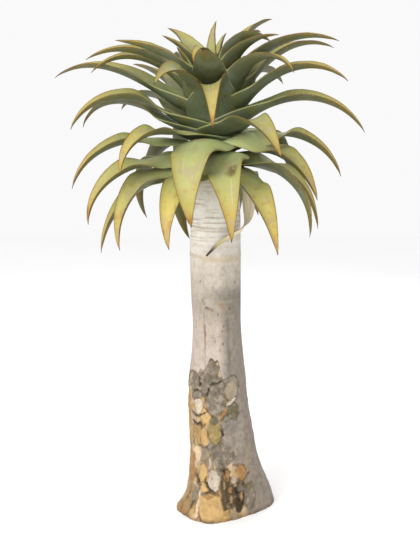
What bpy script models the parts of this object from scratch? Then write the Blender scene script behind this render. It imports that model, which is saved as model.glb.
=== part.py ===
"""A single-stemmed quiver tree, or tree aloe: a pale trunk on a flared foot under one crown of leaves.

Run it with  blender --background --python part.py  or from Blender's text editor. Units are metres and
+Z is up. The origin is the middle of the flat cut under the trunk, at ground level. A heading is an angle
round the trunk, in degrees: 0 faces -Y, 90 faces +X and 180 faces +Y.

The trunk and the leaves are lofts between unlike sections, so their faces are made by hand. Each leaf is
a solid of its own, and grows from a narrow neck that lies just clear of the trunk.
"""

from dataclasses import dataclass

import bmesh
import bpy
import numpy as np

# ---------------------------------------------------------------- trunk: driving dimensions
TRUNK_SIDES = 32
CREASE = 50  # in degrees: sharper edges are shaded as edges
CROWN_TIP = 1.69  # height of the growing tip, inside the youngest leaves

# Height, radius and sideways lean of the trunk, from the ground to the growing tip.
TRUNK_FORM = np.array((
    (0.000, 0.165, 0.000),
    (0.018, 0.164, -0.002),
    (0.045, 0.162, -0.004),
    (0.110, 0.153, -0.008),
    (0.200, 0.139, -0.016),
    (0.320, 0.128, -0.027),
    (0.440, 0.119, -0.040),
    (0.540, 0.112, -0.042),
    (0.660, 0.100, -0.043),
    (0.760, 0.094, -0.045),
    (0.860, 0.096, -0.048),
    (1.100, 0.097, -0.051),
    (1.200, 0.094, -0.050),
    (1.290, 0.086, -0.048),
    (1.365, 0.078, -0.048),
    (1.450, 0.074, -0.053),
    (1.530, 0.068, -0.057),
    (1.590, 0.058, -0.060),
    (1.635, 0.042, -0.062),
    (1.670, 0.022, -0.063),
    (CROWN_TIP, 0.004, -0.064),
))
# Root flare: heading of each buttress or hollow, how far it stands out, its half width in degrees, and the
# height at which it has faded into the trunk.
FOOT_LOBES = (
    (-55, 0.040, 62, 0.14),
    (-84, 0.022, 26, 0.07),
    (22, -0.026, 38, 0.30),
    (52, -0.020, 34, 0.30),
    (108, 0.031, 44, 0.30),
    (-160, 0.014, 45, 0.25),
)

# ---------------------------------------------------------------- leaves: driving dimensions
LEAF_WIDTH = 0.14
LEAF_THICKNESS = 0.0135
THINNING = 0.72  # share of its thickness that a leaf loses by its tip
THINNING_BEND = 1.3  # above 1, most of that is lost towards the tip
MARGIN_SHARE = 0.25  # thickness at a leaf's margins, as a share of that at its keel
LEAF_RINGS = 10  # sections along a leaf, closer together near its seat
RING_SPREAD = 1.15
LEAF_STRIPS = 4  # strips across each face of a leaf
PATH_STEPS = 60
SEAT_GAP = 0.0006  # clearance between a leaf's neck and the trunk
NECK_TURN = 0.42  # half of the trunk's girth that a neck lies on, in radians
NECK_LENGTH = 0.2  # share of the leaf over which its neck widens

# Share of a leaf's length, and its width there as a share of its full width.
BLADE_FORM = np.array((
    (0.0, 1.15), (0.2, 1.15), (0.3, 1.08), (0.4, 0.98), (0.5, 0.84), (0.6, 0.68), (0.7, 0.51), (0.8, 0.335),
    (0.9, 0.17), (1.0, 0.03),
))
# Share of a leaf's length, and how far its margins curl up there: half of the arc, in degrees.
CHANNEL_FORM = np.array(((0.0, 2), (0.1, 10), (0.22, 28), (0.35, 38), (0.6, 46), (0.85, 50), (1.0, 50)))
ROLL_LENGTH = 0.5  # share of the leaf over which it rolls to one side


@dataclass
class Leaf:
    """How one leaf grows: angles in degrees, lengths in metres."""

    name: str
    heading: float
    seat: float  # height of its seat on the trunk
    rise: float  # slope at the seat
    droop: float  # how far that slope turns down by the tip
    length: float
    width: float = 1.0  # as a share of LEAF_WIDTH
    roll: float = 0.0  # sideways roll, which turns its upper face to one side
    bend: float = 1.3  # above 1, the leaf bends more towards its tip


# The leaves from the oldest, at the foot of the crown, to the youngest at its heart.
LEAVES = (
    Leaf("leaf_01", -29, 1.362, 7, 119, 0.45, 0.90, -7, 1.3),
    Leaf("leaf_02", 169, 1.362, 2, 111, 0.49, 1.05, 7, 0.8),
    Leaf("leaf_03", -154, 1.370, 17, 167, 0.52, 1.00, -9, 1.1),
    Leaf("leaf_04", -77, 1.374, -8, 76, 0.52, 1.00, -6, 1.3),
    Leaf("leaf_05", 23, 1.376, -6, 60, 0.53, 1.00, -6, 1.4),
    Leaf("leaf_06", -129, 1.382, 26, 154, 0.52, 1.00, -6, 1.3),
    Leaf("leaf_07", 157, 1.384, -6, 53, 0.49, 1.00, -1, 1.0),
    Leaf("leaf_08", 52, 1.386, 8, 106, 0.49, 1.00, -25, 1.4),
    Leaf("leaf_09", -62, 1.396, 3, 105, 0.52, 0.95, -14, 1.2),
    Leaf("leaf_10", 7, 1.406, 12, 109, 0.50, 1.15, 29, 1.2),
    Leaf("leaf_11", -67, 1.416, -2, 90, 0.54, 1.05, -9, 2.2),
    Leaf("leaf_12", 168, 1.420, 4, 109, 0.49, 1.00, -2, 1.3),
    Leaf("leaf_13", 93, 1.424, -7, 78, 0.47, 0.95, 16, 1.2),
    Leaf("leaf_14", -16, 1.426, 52, 175, 0.49, 1.30, 5, 0.8),
    Leaf("leaf_15", 180, 1.434, 17, 113, 0.51, 0.95, -5, 1.1),
    Leaf("leaf_16", -140, 1.446, 14, 98, 0.48, 0.95, 1, 1.4),
    Leaf("leaf_17", 58, 1.450, 9, 80, 0.43, 1.10, 4, 1.2),
    Leaf("leaf_18", 127, 1.452, 7, 92, 0.51, 1.00, 0, 1.4),
    Leaf("leaf_19", -78, 1.454, 12, 87, 0.54, 1.00, -8, 1.8),
    Leaf("leaf_20", 78, 1.462, 24, 94, 0.47, 1.05, 5, 1.3),
    Leaf("leaf_21", -47, 1.470, 16, 109, 0.45, 1.00, -4, 2.3),
    Leaf("leaf_22", -176, 1.474, 22, 110, 0.52, 1.00, 1, 1.1),
    Leaf("leaf_23", 135, 1.484, 25, 96, 0.49, 1.00, 2, 0.9),
    Leaf("leaf_24", 23, 1.488, 31, 79, 0.51, 1.00, 4, 1.1),
    Leaf("leaf_25", -99, 1.488, 32, 108, 0.51, 1.00, -6, 2.6),
    Leaf("leaf_26", -77, 1.500, 40, 106, 0.54, 1.15, -9, 1.7),
    Leaf("leaf_27", -160, 1.508, 33, 106, 0.52, 1.00, 1, 0.8),
    Leaf("leaf_28", 81, 1.510, 43, 102, 0.56, 1.00, 10, 1.3),
    Leaf("leaf_29", -1, 1.520, 79, 175, 0.47, 1.00, 19, 1.2),
    Leaf("leaf_30", 164, 1.520, 40, 110, 0.53, 1.00, -3, 1.3),
    Leaf("leaf_31", -130, 1.520, 35, 82, 0.47, 1.00, 0, 2.0),
    Leaf("leaf_32", 145, 1.538, 61, 98, 0.53, 1.00, 0, 1.3),
    Leaf("leaf_33", -141, 1.548, 37, 31, 0.52, 1.05, -24, 1.6),
    Leaf("leaf_34", 70, 1.552, 49, 92, 0.51, 1.00, 9, 1.8),
    Leaf("leaf_35", -98, 1.558, 34, 71, 0.60, 1.00, -9, 2.6),
    Leaf("leaf_36", 50, 1.572, 74, 132, 0.42, 0.60, -2, 1.6),
    Leaf("leaf_37", -171, 1.572, 54, 110, 0.49, 1.05, -3, 1.5),
    Leaf("leaf_38", -27, 1.578, 51, 123, 0.45, 0.80, -35, 2.2),
    Leaf("leaf_39", 106, 1.584, 54, 77, 0.52, 0.95, 2, 2.0),
    Leaf("leaf_40", -91, 1.600, 57, 103, 0.48, 0.90, -16, 1.5),
    Leaf("leaf_41", 162, 1.608, 64, 106, 0.47, 1.00, -7, 1.1),
    Leaf("leaf_42", -4, 1.624, 31, 35, 0.48, 0.85, -10, 1.6),
    Leaf("leaf_43", -156, 1.624, 60, 109, 0.46, 0.95, -1, 1.4),
    Leaf("leaf_44", -81, 1.626, 49, 82, 0.48, 0.95, -10, 1.6),
    Leaf("leaf_45", 147, 1.628, 59, 71, 0.43, 0.70, 1, 2.6),
    Leaf("leaf_46", 73, 1.630, 55, 77, 0.50, 1.00, 8, 1.5),
    Leaf("leaf_47", -68, 1.640, 58, 55, 0.39, 1.00, -15, 0.9),
    Leaf("leaf_48", 137, 1.642, 68, 59, 0.44, 0.90, -17, 1.4),
    Leaf("leaf_49", 55, 1.646, 73, 80, 0.34, 0.80, 49, 1.3),
    Leaf("leaf_50", -130, 1.648, 55, 10, 0.22, 0.60, -5, 1.0),
    Leaf("leaf_51", 103, 1.652, 90, 130, 0.34, 0.85, -30, 1.7),
    Leaf("leaf_52", -66, 1.660, 77, 59, 0.26, 0.60, -28, 1.0),
    Leaf("leaf_53", -144, 1.660, 64, 50, 0.37, 0.80, 0, 1.2),
    Leaf("leaf_54", 163, 1.664, 86, 70, 0.28, 0.35, -36, 1.1),
    Leaf("leaf_55", -31, 1.676, 86, 208, 0.26, 0.50, -13, 2.2),
    Leaf("leaf_56", 109, 1.676, 87, 38, 0.18, 0.35, 21, 1.4),
    Leaf("leaf_57", 161, 1.682, 100, 69, 0.24, 0.35, -15, 2.6),
)

# ---------------------------------------------------------------- the dead leaf: driving dimensions
# It hangs down the trunk's right side and curls across its front. Each row is a point on its middle line:
# heading, height, distance off the bark, half of its width, and how far its blade stands out from the
# bark, in degrees, where 0 lies flat along it.
DEAD_LEAF_ROUTE = (
    (97, 1.324, 0.0030, 0.004, 0),
    (94, 1.300, 0.0230, 0.014, 55),
    (90, 1.262, 0.0300, 0.024, 75),
    (84, 1.215, 0.0300, 0.025, 75),
    (74, 1.172, 0.0260, 0.019, 60),
    (55, 1.142, 0.0200, 0.011, 30),
    (30, 1.122, 0.0150, 0.008, 10),
    (4, 1.092, 0.0120, 0.006, 0),
    (-18, 1.048, 0.0150, 0.003, 0),
)
DEAD_LEAF_RINGS = 22
DEAD_LEAF_THICKNESS = 0.0045
DEAD_LEAF_MARGIN = 0.4  # thickness at its margins, as a share of that at its middle
DEAD_LEAF_CURL = 35  # how far its margins curl, in degrees: half of the arc


# ---------------------------------------------------------------- forms shared by the sub-parts
def smooth(share):
    """Ease from 0 to 1 as share goes from 0 to 1."""
    share = np.clip(share, 0, 1)
    return share * share * (3 - 2 * share)


def facing(heading):
    """Unit vectors of headings given in radians."""
    return np.stack([np.sin(heading), -np.cos(heading), np.zeros_like(heading)], -1)


def trunk_radius(height):
    return np.interp(height, TRUNK_FORM[:, 0], TRUNK_FORM[:, 1])


def trunk_axis(height):
    lean = np.interp(height, TRUNK_FORM[:, 0], TRUNK_FORM[:, 2])
    return np.stack([lean, np.zeros_like(lean), height], -1)


def loft(name, rings):
    """A closed object through rings of equal point count, whose ends are flat or bridged strip by strip."""
    count, around = rings.shape[:2]
    faces = []
    for ring in range(count - 1):
        for i in range(around):
            j = (i + 1) % around
            low = ring * around
            faces.append((low + i, low + around + i, low + around + j, low + j))
    half = around // 2
    last = (count - 1) * around
    for i in range(half - 1):
        near, far = around - 1 - i, around - 2 - i
        faces.append((i, i + 1, far, near))
        faces.append((last + i, last + near, last + far, last + i + 1))
    mesh = bpy.data.meshes.new(name)
    mesh.from_pydata(rings.reshape(-1, 3).tolist(), [], faces)
    outward = bmesh.new()
    outward.from_mesh(mesh)
    bmesh.ops.recalc_face_normals(outward, faces=outward.faces)
    outward.to_mesh(mesh)
    outward.free()
    return bpy.data.objects.new(name, mesh)


def finish(name, colour, roughness):
    """A plain Principled material."""
    material = bpy.data.materials.new(name)
    material.use_nodes = True
    shader = material.node_tree.nodes["Principled BSDF"]
    shader.inputs["Base Color"].default_value = (*colour, 1)
    shader.inputs["Roughness"].default_value = roughness
    shader.inputs["Metallic"].default_value = 0
    return material


# ---------------------------------------------------------------- trunk
def foot_lobes(headings, height):
    """How far the root flare stands out at each heading, in degrees, at one height."""
    total = np.zeros_like(headings)
    for centre, stands_out, half_width, top in FOOT_LOBES:
        away = np.abs((headings - centre + 180) % 360 - 180)
        fade = (1 - smooth(height / top)) ** 2
        total += stands_out * (1 - smooth(away / half_width)) * fade
    return total


def make_trunk():
    headings = np.arange(TRUNK_SIDES) * 360 / TRUNK_SIDES
    rings = []
    for height, radius, _ in TRUNK_FORM:
        reach = radius + foot_lobes(headings, height)
        rings.append(trunk_axis(height) + reach[:, None] * facing(np.radians(headings)))
    return loft("trunk", np.array(rings))


# ---------------------------------------------------------------- leaves
def leaf_path(leaf):
    """Points along a leaf's middle line, and the direction that its upper face looks at each."""
    share = np.linspace(0, 1, PATH_STEPS + 1)
    slope = np.radians(leaf.rise - leaf.droop * share ** leaf.bend)[:, None]
    outward = facing(np.radians(leaf.heading))
    upward = np.array((0, 0, 1))
    ahead = np.cos(slope) * outward + np.sin(slope) * upward
    up = np.cos(slope) * upward - np.sin(slope) * outward
    start = trunk_axis(leaf.seat) + (trunk_radius(leaf.seat) + SEAT_GAP) * outward
    steps = (ahead[1:] + ahead[:-1]) / 2 * leaf.length / PATH_STEPS
    path = np.vstack([start, start + np.cumsum(steps, axis=0)])
    return share, path, up


def read_rows(share, rows, at):
    """Rows of a table read off at other shares of the leaf's length."""
    return np.stack([np.interp(at, share, rows[:, column]) for column in range(rows.shape[1])], -1)


def leaf_rings(leaf):
    """Crescent sections from a leaf's neck to its tip, upper edge first, and then back along the lower."""
    share, path, up = leaf_path(leaf)
    at = (np.arange(LEAF_RINGS + 1) / LEAF_RINGS) ** RING_SPREAD
    middle = read_rows(share, path, at)[:, None]
    up = read_rows(share, up, at)
    up /= np.linalg.norm(up, axis=1)[:, None]
    side = facing(np.radians(leaf.heading + 90))
    roll = np.radians(leaf.roll) * smooth(at / ROLL_LENGTH)[:, None]
    side, up = side * np.cos(roll) + up * np.sin(roll), up * np.cos(roll) - side * np.sin(roll)
    side, up = side[:, None], up[:, None]

    full = LEAF_WIDTH * leaf.width / 2
    widening = smooth(at / NECK_LENGTH)
    neck = min(NECK_TURN * trunk_radius(leaf.seat), full)
    blade = full * np.interp(at, BLADE_FORM[:, 0], BLADE_FORM[:, 1])
    half = neck * (1 - widening) + blade * widening
    curl = np.radians(np.interp(at, CHANNEL_FORM[:, 0], CHANNEL_FORM[:, 1]))
    across = np.linspace(-1, 1, LEAF_STRIPS + 1)
    turn = curl[:, None] * across
    bow = (half / curl)[:, None]
    thickness = LEAF_THICKNESS * (1 - THINNING * at ** THINNING_BEND)
    depth = thickness[:, None] * (MARGIN_SHARE + (1 - MARGIN_SHARE) * (1 - across ** 2))
    upper = middle + side * (bow * np.sin(turn))[..., None] + up * (bow * (1 - np.cos(turn)))[..., None]
    inward = up * np.cos(turn)[..., None] - side * np.sin(turn)[..., None]
    lower = upper - inward * depth[..., None]

    # The neck's end lies along the trunk.
    headings = np.radians(leaf.heading) + bow[0] * np.sin(turn[0]) / trunk_radius(leaf.seat)
    for rows, direction in ((upper, 1), (lower, -1)):
        heights = leaf.seat + direction * depth[0] / 2
        reach = trunk_radius(heights) + SEAT_GAP
        rows[0] = trunk_axis(heights) + reach[:, None] * facing(headings)
    return np.concatenate([upper, lower[:, ::-1]], 1)


def make_leaf(leaf):
    return loft(leaf.name, leaf_rings(leaf))


# ---------------------------------------------------------------- the dead leaf
def curve_through(points, count):
    """Points evenly spread along a smooth curve through the given rows (Catmull-Rom)."""
    points = np.array(points, float)
    padded = np.vstack([2 * points[0] - points[1], points, 2 * points[-1] - points[-2]])
    spans = len(points) - 1
    rows = []
    for place in np.linspace(0, spans, count):
        span = min(int(place), spans - 1)
        t = place - span
        before, start, end, after = padded[span:span + 4]
        rows.append(0.5 * (2 * start + (end - before) * t + (2 * before - 5 * start + 4 * end - after) * t ** 2
                           + (3 * start - before - 3 * end + after) * t ** 3))
    return np.array(rows)


def dead_leaf_rings():
    """Curled sections along the withered leaf, from the trunk to its tip."""
    rows = curve_through(DEAD_LEAF_ROUTE, DEAD_LEAF_RINGS + 1)
    headings = np.radians(rows[:, 0])
    heights = rows[:, 1]
    outward = facing(headings)
    path = trunk_axis(heights) + (trunk_radius(heights) + rows[:, 2])[:, None] * outward
    ahead = np.gradient(path, axis=0)
    ahead /= np.linalg.norm(ahead, axis=1)[:, None]
    flat = np.cross(ahead, outward)
    flat /= np.linalg.norm(flat, axis=1)[:, None]
    stand = np.cross(flat, ahead)
    tilt = np.radians(rows[:, 4])[:, None]
    side = (flat * np.cos(tilt) + stand * np.sin(tilt))[:, None]
    up = (stand * np.cos(tilt) - flat * np.sin(tilt))[:, None]
    curl = np.radians(DEAD_LEAF_CURL)
    across = np.linspace(-1, 1, LEAF_STRIPS + 1)
    bow = (rows[:, 3] / curl)[:, None]
    upper = path[:, None] + side * (bow * np.sin(curl * across))[..., None]
    upper = upper + up * (bow * (1 - np.cos(curl * across)))[..., None]
    inward = up * np.cos(curl * across)[:, None] - side * np.sin(curl * across)[:, None]
    depth = DEAD_LEAF_THICKNESS * (DEAD_LEAF_MARGIN + (1 - DEAD_LEAF_MARGIN) * (1 - across ** 2))
    lower = upper - inward * depth[:, None]
    return np.concatenate([upper, lower[:, ::-1]], 1)


# ---------------------------------------------------------------- the plant
def add(made, material, plant):
    made.data.materials.append(material)
    made.data.shade_smooth()
    made.data.set_sharp_from_angle(angle=np.radians(CREASE))
    plant.objects.link(made)


def main():
    for old in list(bpy.data.objects):
        bpy.data.objects.remove(old)
    plant = bpy.data.collections.new("quiver_tree")
    bpy.context.scene.collection.children.link(plant)
    bark = finish("bark", (0.62, 0.57, 0.50), 0.85)
    green = finish("leaf", (0.28, 0.30, 0.15), 0.5)
    straw = finish("dead_leaf", (0.72, 0.62, 0.44), 0.8)
    add(make_trunk(), bark, plant)
    for leaf in LEAVES:
        add(make_leaf(leaf), green, plant)
    add(loft("dead_leaf", dead_leaf_rings()), straw, plant)


main()
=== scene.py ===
"""Looks of a single-stemmed quiver tree, or tree aloe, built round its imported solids.

The frame's nodes give the trunk, every leaf and one withered leaf. Each is replaced by a finer mesh in the
same place: a trunk with the relief of its bark, leaves with clasping bases and toothed margins, and a papery
dead leaf. Lengths are metres, +Z is up and the front faces -Y. A heading is an angle round the trunk in
degrees: 0 faces -Y, 90 faces +X and 180 faces +Y.
"""

from __future__ import annotations

import logging
import math
from dataclasses import dataclass, field
from enum import Enum, IntEnum
from itertools import product

import bpy
import numpy as np
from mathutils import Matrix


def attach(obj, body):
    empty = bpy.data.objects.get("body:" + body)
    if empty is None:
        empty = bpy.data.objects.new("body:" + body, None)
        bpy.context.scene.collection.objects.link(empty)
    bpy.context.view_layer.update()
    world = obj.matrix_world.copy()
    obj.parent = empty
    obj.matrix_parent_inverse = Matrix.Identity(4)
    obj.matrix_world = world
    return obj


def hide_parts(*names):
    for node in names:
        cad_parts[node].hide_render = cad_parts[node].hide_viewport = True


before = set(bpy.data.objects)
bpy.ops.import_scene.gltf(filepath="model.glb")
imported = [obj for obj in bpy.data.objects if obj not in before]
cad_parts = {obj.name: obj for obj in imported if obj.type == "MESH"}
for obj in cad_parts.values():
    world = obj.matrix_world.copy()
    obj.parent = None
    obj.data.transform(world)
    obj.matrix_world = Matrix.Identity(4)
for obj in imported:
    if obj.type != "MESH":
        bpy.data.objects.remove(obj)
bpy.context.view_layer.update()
BODY = "root"
LOG = logging.getLogger("quiver_tree")

Array = np.ndarray
Colour = tuple[float, float, float]
Triple = tuple[float, float, float]  # a place, or three numbers of another kind
Span = tuple[float, float]
Stops = tuple[tuple[float, Colour], ...]
Socket = bpy.types.NodeSocket


# ---------------------------------------------------------------- sums shared by the pieces
# Large primes and a 32-bit mask that turn a lattice cell into a number that looks random.
CELL_PRIMES = (374761393, 668265263, 2246822519)
SEED_PRIME = 3266489917
MIX_PRIME = 1274126177
SALT_STEP = 31
WORD = 0xFFFFFFFF
LAYER_SHIFT = 17.3  # keeps the layers of a noise from lining up
FAR = 9.0  # further than any place that is searched for


class Seed(IntEnum):
    """Seeds of the pieces' noises."""

    LOT = 5
    TEETH = 7  # added to a leaf's own seed
    BARK = 11
    RINGS = 23
    PLATES = 37
    STRAW = 61


def smooth(share: Array) -> Array:
    """Ease from 0 to 1.

    Args:
        share: Numbers that are held between 0 and 1.

    Returns:
        The eased numbers.
    """
    share = np.clip(share, 0, 1)
    return share * share * (3 - 2 * share)


def ease(values: Array, start: float, end: float) -> Array:
    """Ease from 0 to 1 between two values.

    Args:
        values: Numbers.
        start: Where the result is still 0.
        end: Where it has reached 1. It may lie below the start.

    Returns:
        A number from 0 to 1 for each value.
    """
    return smooth((values - start) / (end - start))


def bell(away: Array, width: float) -> Array:
    """A band that is 1 in its middle and fades on both sides.

    Args:
        away: How far places are from its middle.
        width: How far out it has faded to about a third.

    Returns:
        A number from 0 to 1 for each place.
    """
    return np.exp(-(away / width) ** 2)


def unit(rows: Array, least: float = 0.0) -> Array:
    """Vectors scaled to length 1.

    Args:
        rows: Vectors along the last axis.
        least: Added to each length, so that a vector of zeros stays one.

    Returns:
        The scaled vectors.
    """
    return rows / (np.linalg.norm(rows, axis=-1, keepdims=True) + least)


def read_rows(places: Array, knots: Array, rows: Array) -> Array:
    """Read points or vectors that are given at knots.

    Args:
        places: Where to read them.
        knots: Rising numbers, one for each row.
        rows: Three numbers at each knot.

    Returns:
        Three numbers for each place.
    """
    return np.stack([np.interp(places, knots, rows[:, axis]) for axis in range(3)], -1)


def channel(bow: Array, turn: Array, side: Array, up: Array) -> Array:
    """Where a blade that is bent round into a channel lies, from its middle line.

    Args:
        bow: The channel's radius.
        turn: How far round it each point lies, in radians.
        side: The blade's sideways direction.
        up: The direction that its upper face looks in.

    Returns:
        A vector from the middle line for each point.
    """
    return side * (bow * np.sin(turn))[..., None] + up * (bow * (1 - np.cos(turn)))[..., None]


def facing(heading: Array | float) -> Array:
    """Unit vectors that look along headings.

    Args:
        heading: Angles round the trunk, in radians.

    Returns:
        One horizontal unit vector for each angle.
    """
    return np.stack([np.sin(heading), -np.cos(heading), np.zeros_like(heading)], -1)


def curve_at(places: Array, rows: Array, column: int = 1) -> Array:
    """Read a smooth curve through the rows of a table.

    Args:
        places: Where to read it.
        rows: A table whose first column rises.
        column: The column to read.

    Returns:
        The curve's value at each place, held at the table's ends.
    """
    knots, values = rows[:, 0], rows[:, column]
    slopes = np.gradient(values, knots)
    places = np.clip(places, knots[0], knots[-1])
    span = np.clip(np.searchsorted(knots, places) - 1, 0, len(knots) - 2)
    width = knots[span + 1] - knots[span]
    t = (places - knots[span]) / width
    start = values[span] * (1 + 2 * t) * (1 - t) ** 2 + slopes[span] * width * t * (1 - t) ** 2
    end = values[span + 1] * t * t * (3 - 2 * t) - slopes[span + 1] * width * t * t * (1 - t)
    return start + end


def linear(colour: Array | Colour) -> Array:
    """Turn screen colours into linear light, by the usual rule for screens.

    Args:
        colour: Colours from 0 to 1 as a screen shows them.

    Returns:
        The same colours in linear light.
    """
    colour = np.asarray(colour, float)
    return np.where(colour <= 0.04045, colour / 12.92, ((colour + 0.055) / 1.055) ** 2.4)


@dataclass(frozen=True)
class LatticeNoise:
    """Seeded value noise on a cubic lattice."""

    seed: int

    def scatter(self, cell: Array, salt: int = 0) -> Array:
        """One number from 0 to 1 for each lattice cell.

        Args:
            cell: Whole-numbered cells, three to a row.
            salt: Picks another number for the same cell.

        Returns:
            A number for each cell.
        """
        mixed = sum(cell[..., axis] * prime for axis, prime in enumerate(CELL_PRIMES))
        mixed = (mixed + (self.seed * SALT_STEP + salt) * SEED_PRIME) & WORD
        mixed = ((mixed ^ (mixed >> 13)) * MIX_PRIME) & WORD
        return (mixed ^ (mixed >> 16)) / WORD

    def at(self, points: Array) -> Array:
        """Noise from -1 to 1.

        Args:
            points: Places in lattice units.

        Returns:
            A number for each place.
        """
        cell = np.floor(points).astype(np.int64)
        part = smooth(points - cell)
        total = np.zeros(points.shape[:-1])
        for corner in product((0, 1), repeat=3):
            weight = np.prod(np.where(np.array(corner) == 1, part, 1 - part), axis=-1)
            total += weight * self.scatter(cell + np.array(corner))
        return total * 2 - 1

    def layered(self, points: Array, layers: int = 4) -> Array:
        """Noise with finer and fainter layers on top.

        Args:
            points: Places in lattice units.
            layers: How many layers.

        Returns:
            A number near -1 to 1 for each place.
        """
        total = np.zeros(points.shape[:-1])
        for layer in range(layers):
            total += self.at(points * 2 ** layer + layer * LAYER_SHIFT) / 2 ** layer
        return total / (2 - 2 ** (1 - layers))

    def cells(self, points: Array) -> tuple[Array, Array]:
        """Plates round scattered seeds.

        Args:
            points: Places in lattice units.

        Returns:
            How far each place is from its plate's edge, and a number from 0 to 1 for its plate.
        """
        cell = np.floor(points).astype(np.int64)
        nearest = np.full(points.shape[:-1], FAR)
        second = nearest.copy()
        mark = np.zeros(points.shape[:-1])
        for corner in product((-1, 0, 1), repeat=3):
            place = cell + np.array(corner)
            seed = place + np.stack([self.scatter(place, salt) for salt in (1, 2, 3)], -1)
            away = np.linalg.norm(points - seed, axis=-1)
            closer = away < nearest
            second = np.where(closer, nearest, np.minimum(second, away))
            mark = np.where(closer, self.scatter(place, 4), mark)
            nearest = np.where(closer, away, nearest)
        return second - nearest, mark


class MeshBuilder:
    """Gathers grids and loose faces with their attributes, and makes one mesh object of them."""

    def __init__(self) -> None:
        """Start with nothing."""
        self.points: list[Array] = []
        self.faces: list[Array] = []
        self.marks: dict[str, list[Array]] = {}
        self.count = 0

    def add(self, points: Array, faces: Array, marks: dict[str, Array]) -> None:
        """Add a patch of mesh.

        Args:
            points: Its corners.
            faces: Its faces, all with as many corners, as rows of indices into points.
            marks: Attributes, with a number or a colour for each corner.
        """
        self.points.append(points.reshape(-1, 3))
        self.faces.append(faces + self.count)
        for name, values in marks.items():
            self.marks.setdefault(name, []).append(values)
        self.count += len(points.reshape(-1, 3))

    def make(self, name: str, material: bpy.types.Material, crease: float = 60) -> bpy.types.Object:
        """Make the object.

        Args:
            name: Its name.
            material: Its finish.
            crease: Edges sharper than this, in degrees, are shaded sharp.

        Returns:
            The object, linked to the scene.
        """
        mesh = bpy.data.meshes.new(name)
        faces = [tuple(row) for block in self.faces for row in block.tolist()]
        mesh.from_pydata(np.concatenate(self.points).tolist(), [], faces)
        for mark, blocks in self.marks.items():
            values = np.concatenate(blocks)
            if values.ndim == 2:
                attribute = mesh.attributes.new(mark, "FLOAT_COLOR", "POINT")
                colour = np.concatenate([values, np.ones((len(values), 1))], 1)
                attribute.data.foreach_set("color", colour.astype(np.float32).ravel())
            else:
                attribute = mesh.attributes.new(mark, "FLOAT", "POINT")
                attribute.data.foreach_set("value", values.astype(np.float32))
        mesh.materials.append(material)
        mesh.shade_smooth()
        mesh.set_sharp_from_angle(angle=math.radians(crease))
        piece = bpy.data.objects.new(name, mesh)
        bpy.context.scene.collection.objects.link(piece)
        return piece


def tube_faces(rings: int, around: int) -> Array:
    """Faces between the rings of a tube.

    Args:
        rings: How many rings.
        around: Points in each ring.

    Returns:
        Four corners for each face.
    """
    ring, place = np.meshgrid(np.arange(rings - 1), np.arange(around), indexing="ij")
    here = ring * around + place
    beside = ring * around + (place + 1) % around
    return np.stack([here, beside, beside + around, here + around], -1).reshape(-1, 4)


def cap_faces(around: int, order: int) -> Array:
    """Faces from a ring to a middle point that comes after it.

    Args:
        around: Points in the ring.
        order: 1 or -1: the way round that the faces run.

    Returns:
        Three corners for each face.
    """
    ring = np.arange(around)
    fan = np.stack([ring, (ring + 1) % around], -1)[:, ::order]
    return np.concatenate([fan, np.full((around, 1), around)], 1)


# ---------------------------------------------------------------- finishes
@dataclass(frozen=True)
class Stain:
    """A colour that is laid over another where a pattern is strong."""

    colour: Colour
    low: float  # the pattern's value where the stain starts to show
    high: float  # and where it shows in full
    strength: float = 1.0  # how much of it shows there
    scale: float = 1.0  # of the clouds that it follows
    detail: float = 3


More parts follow.
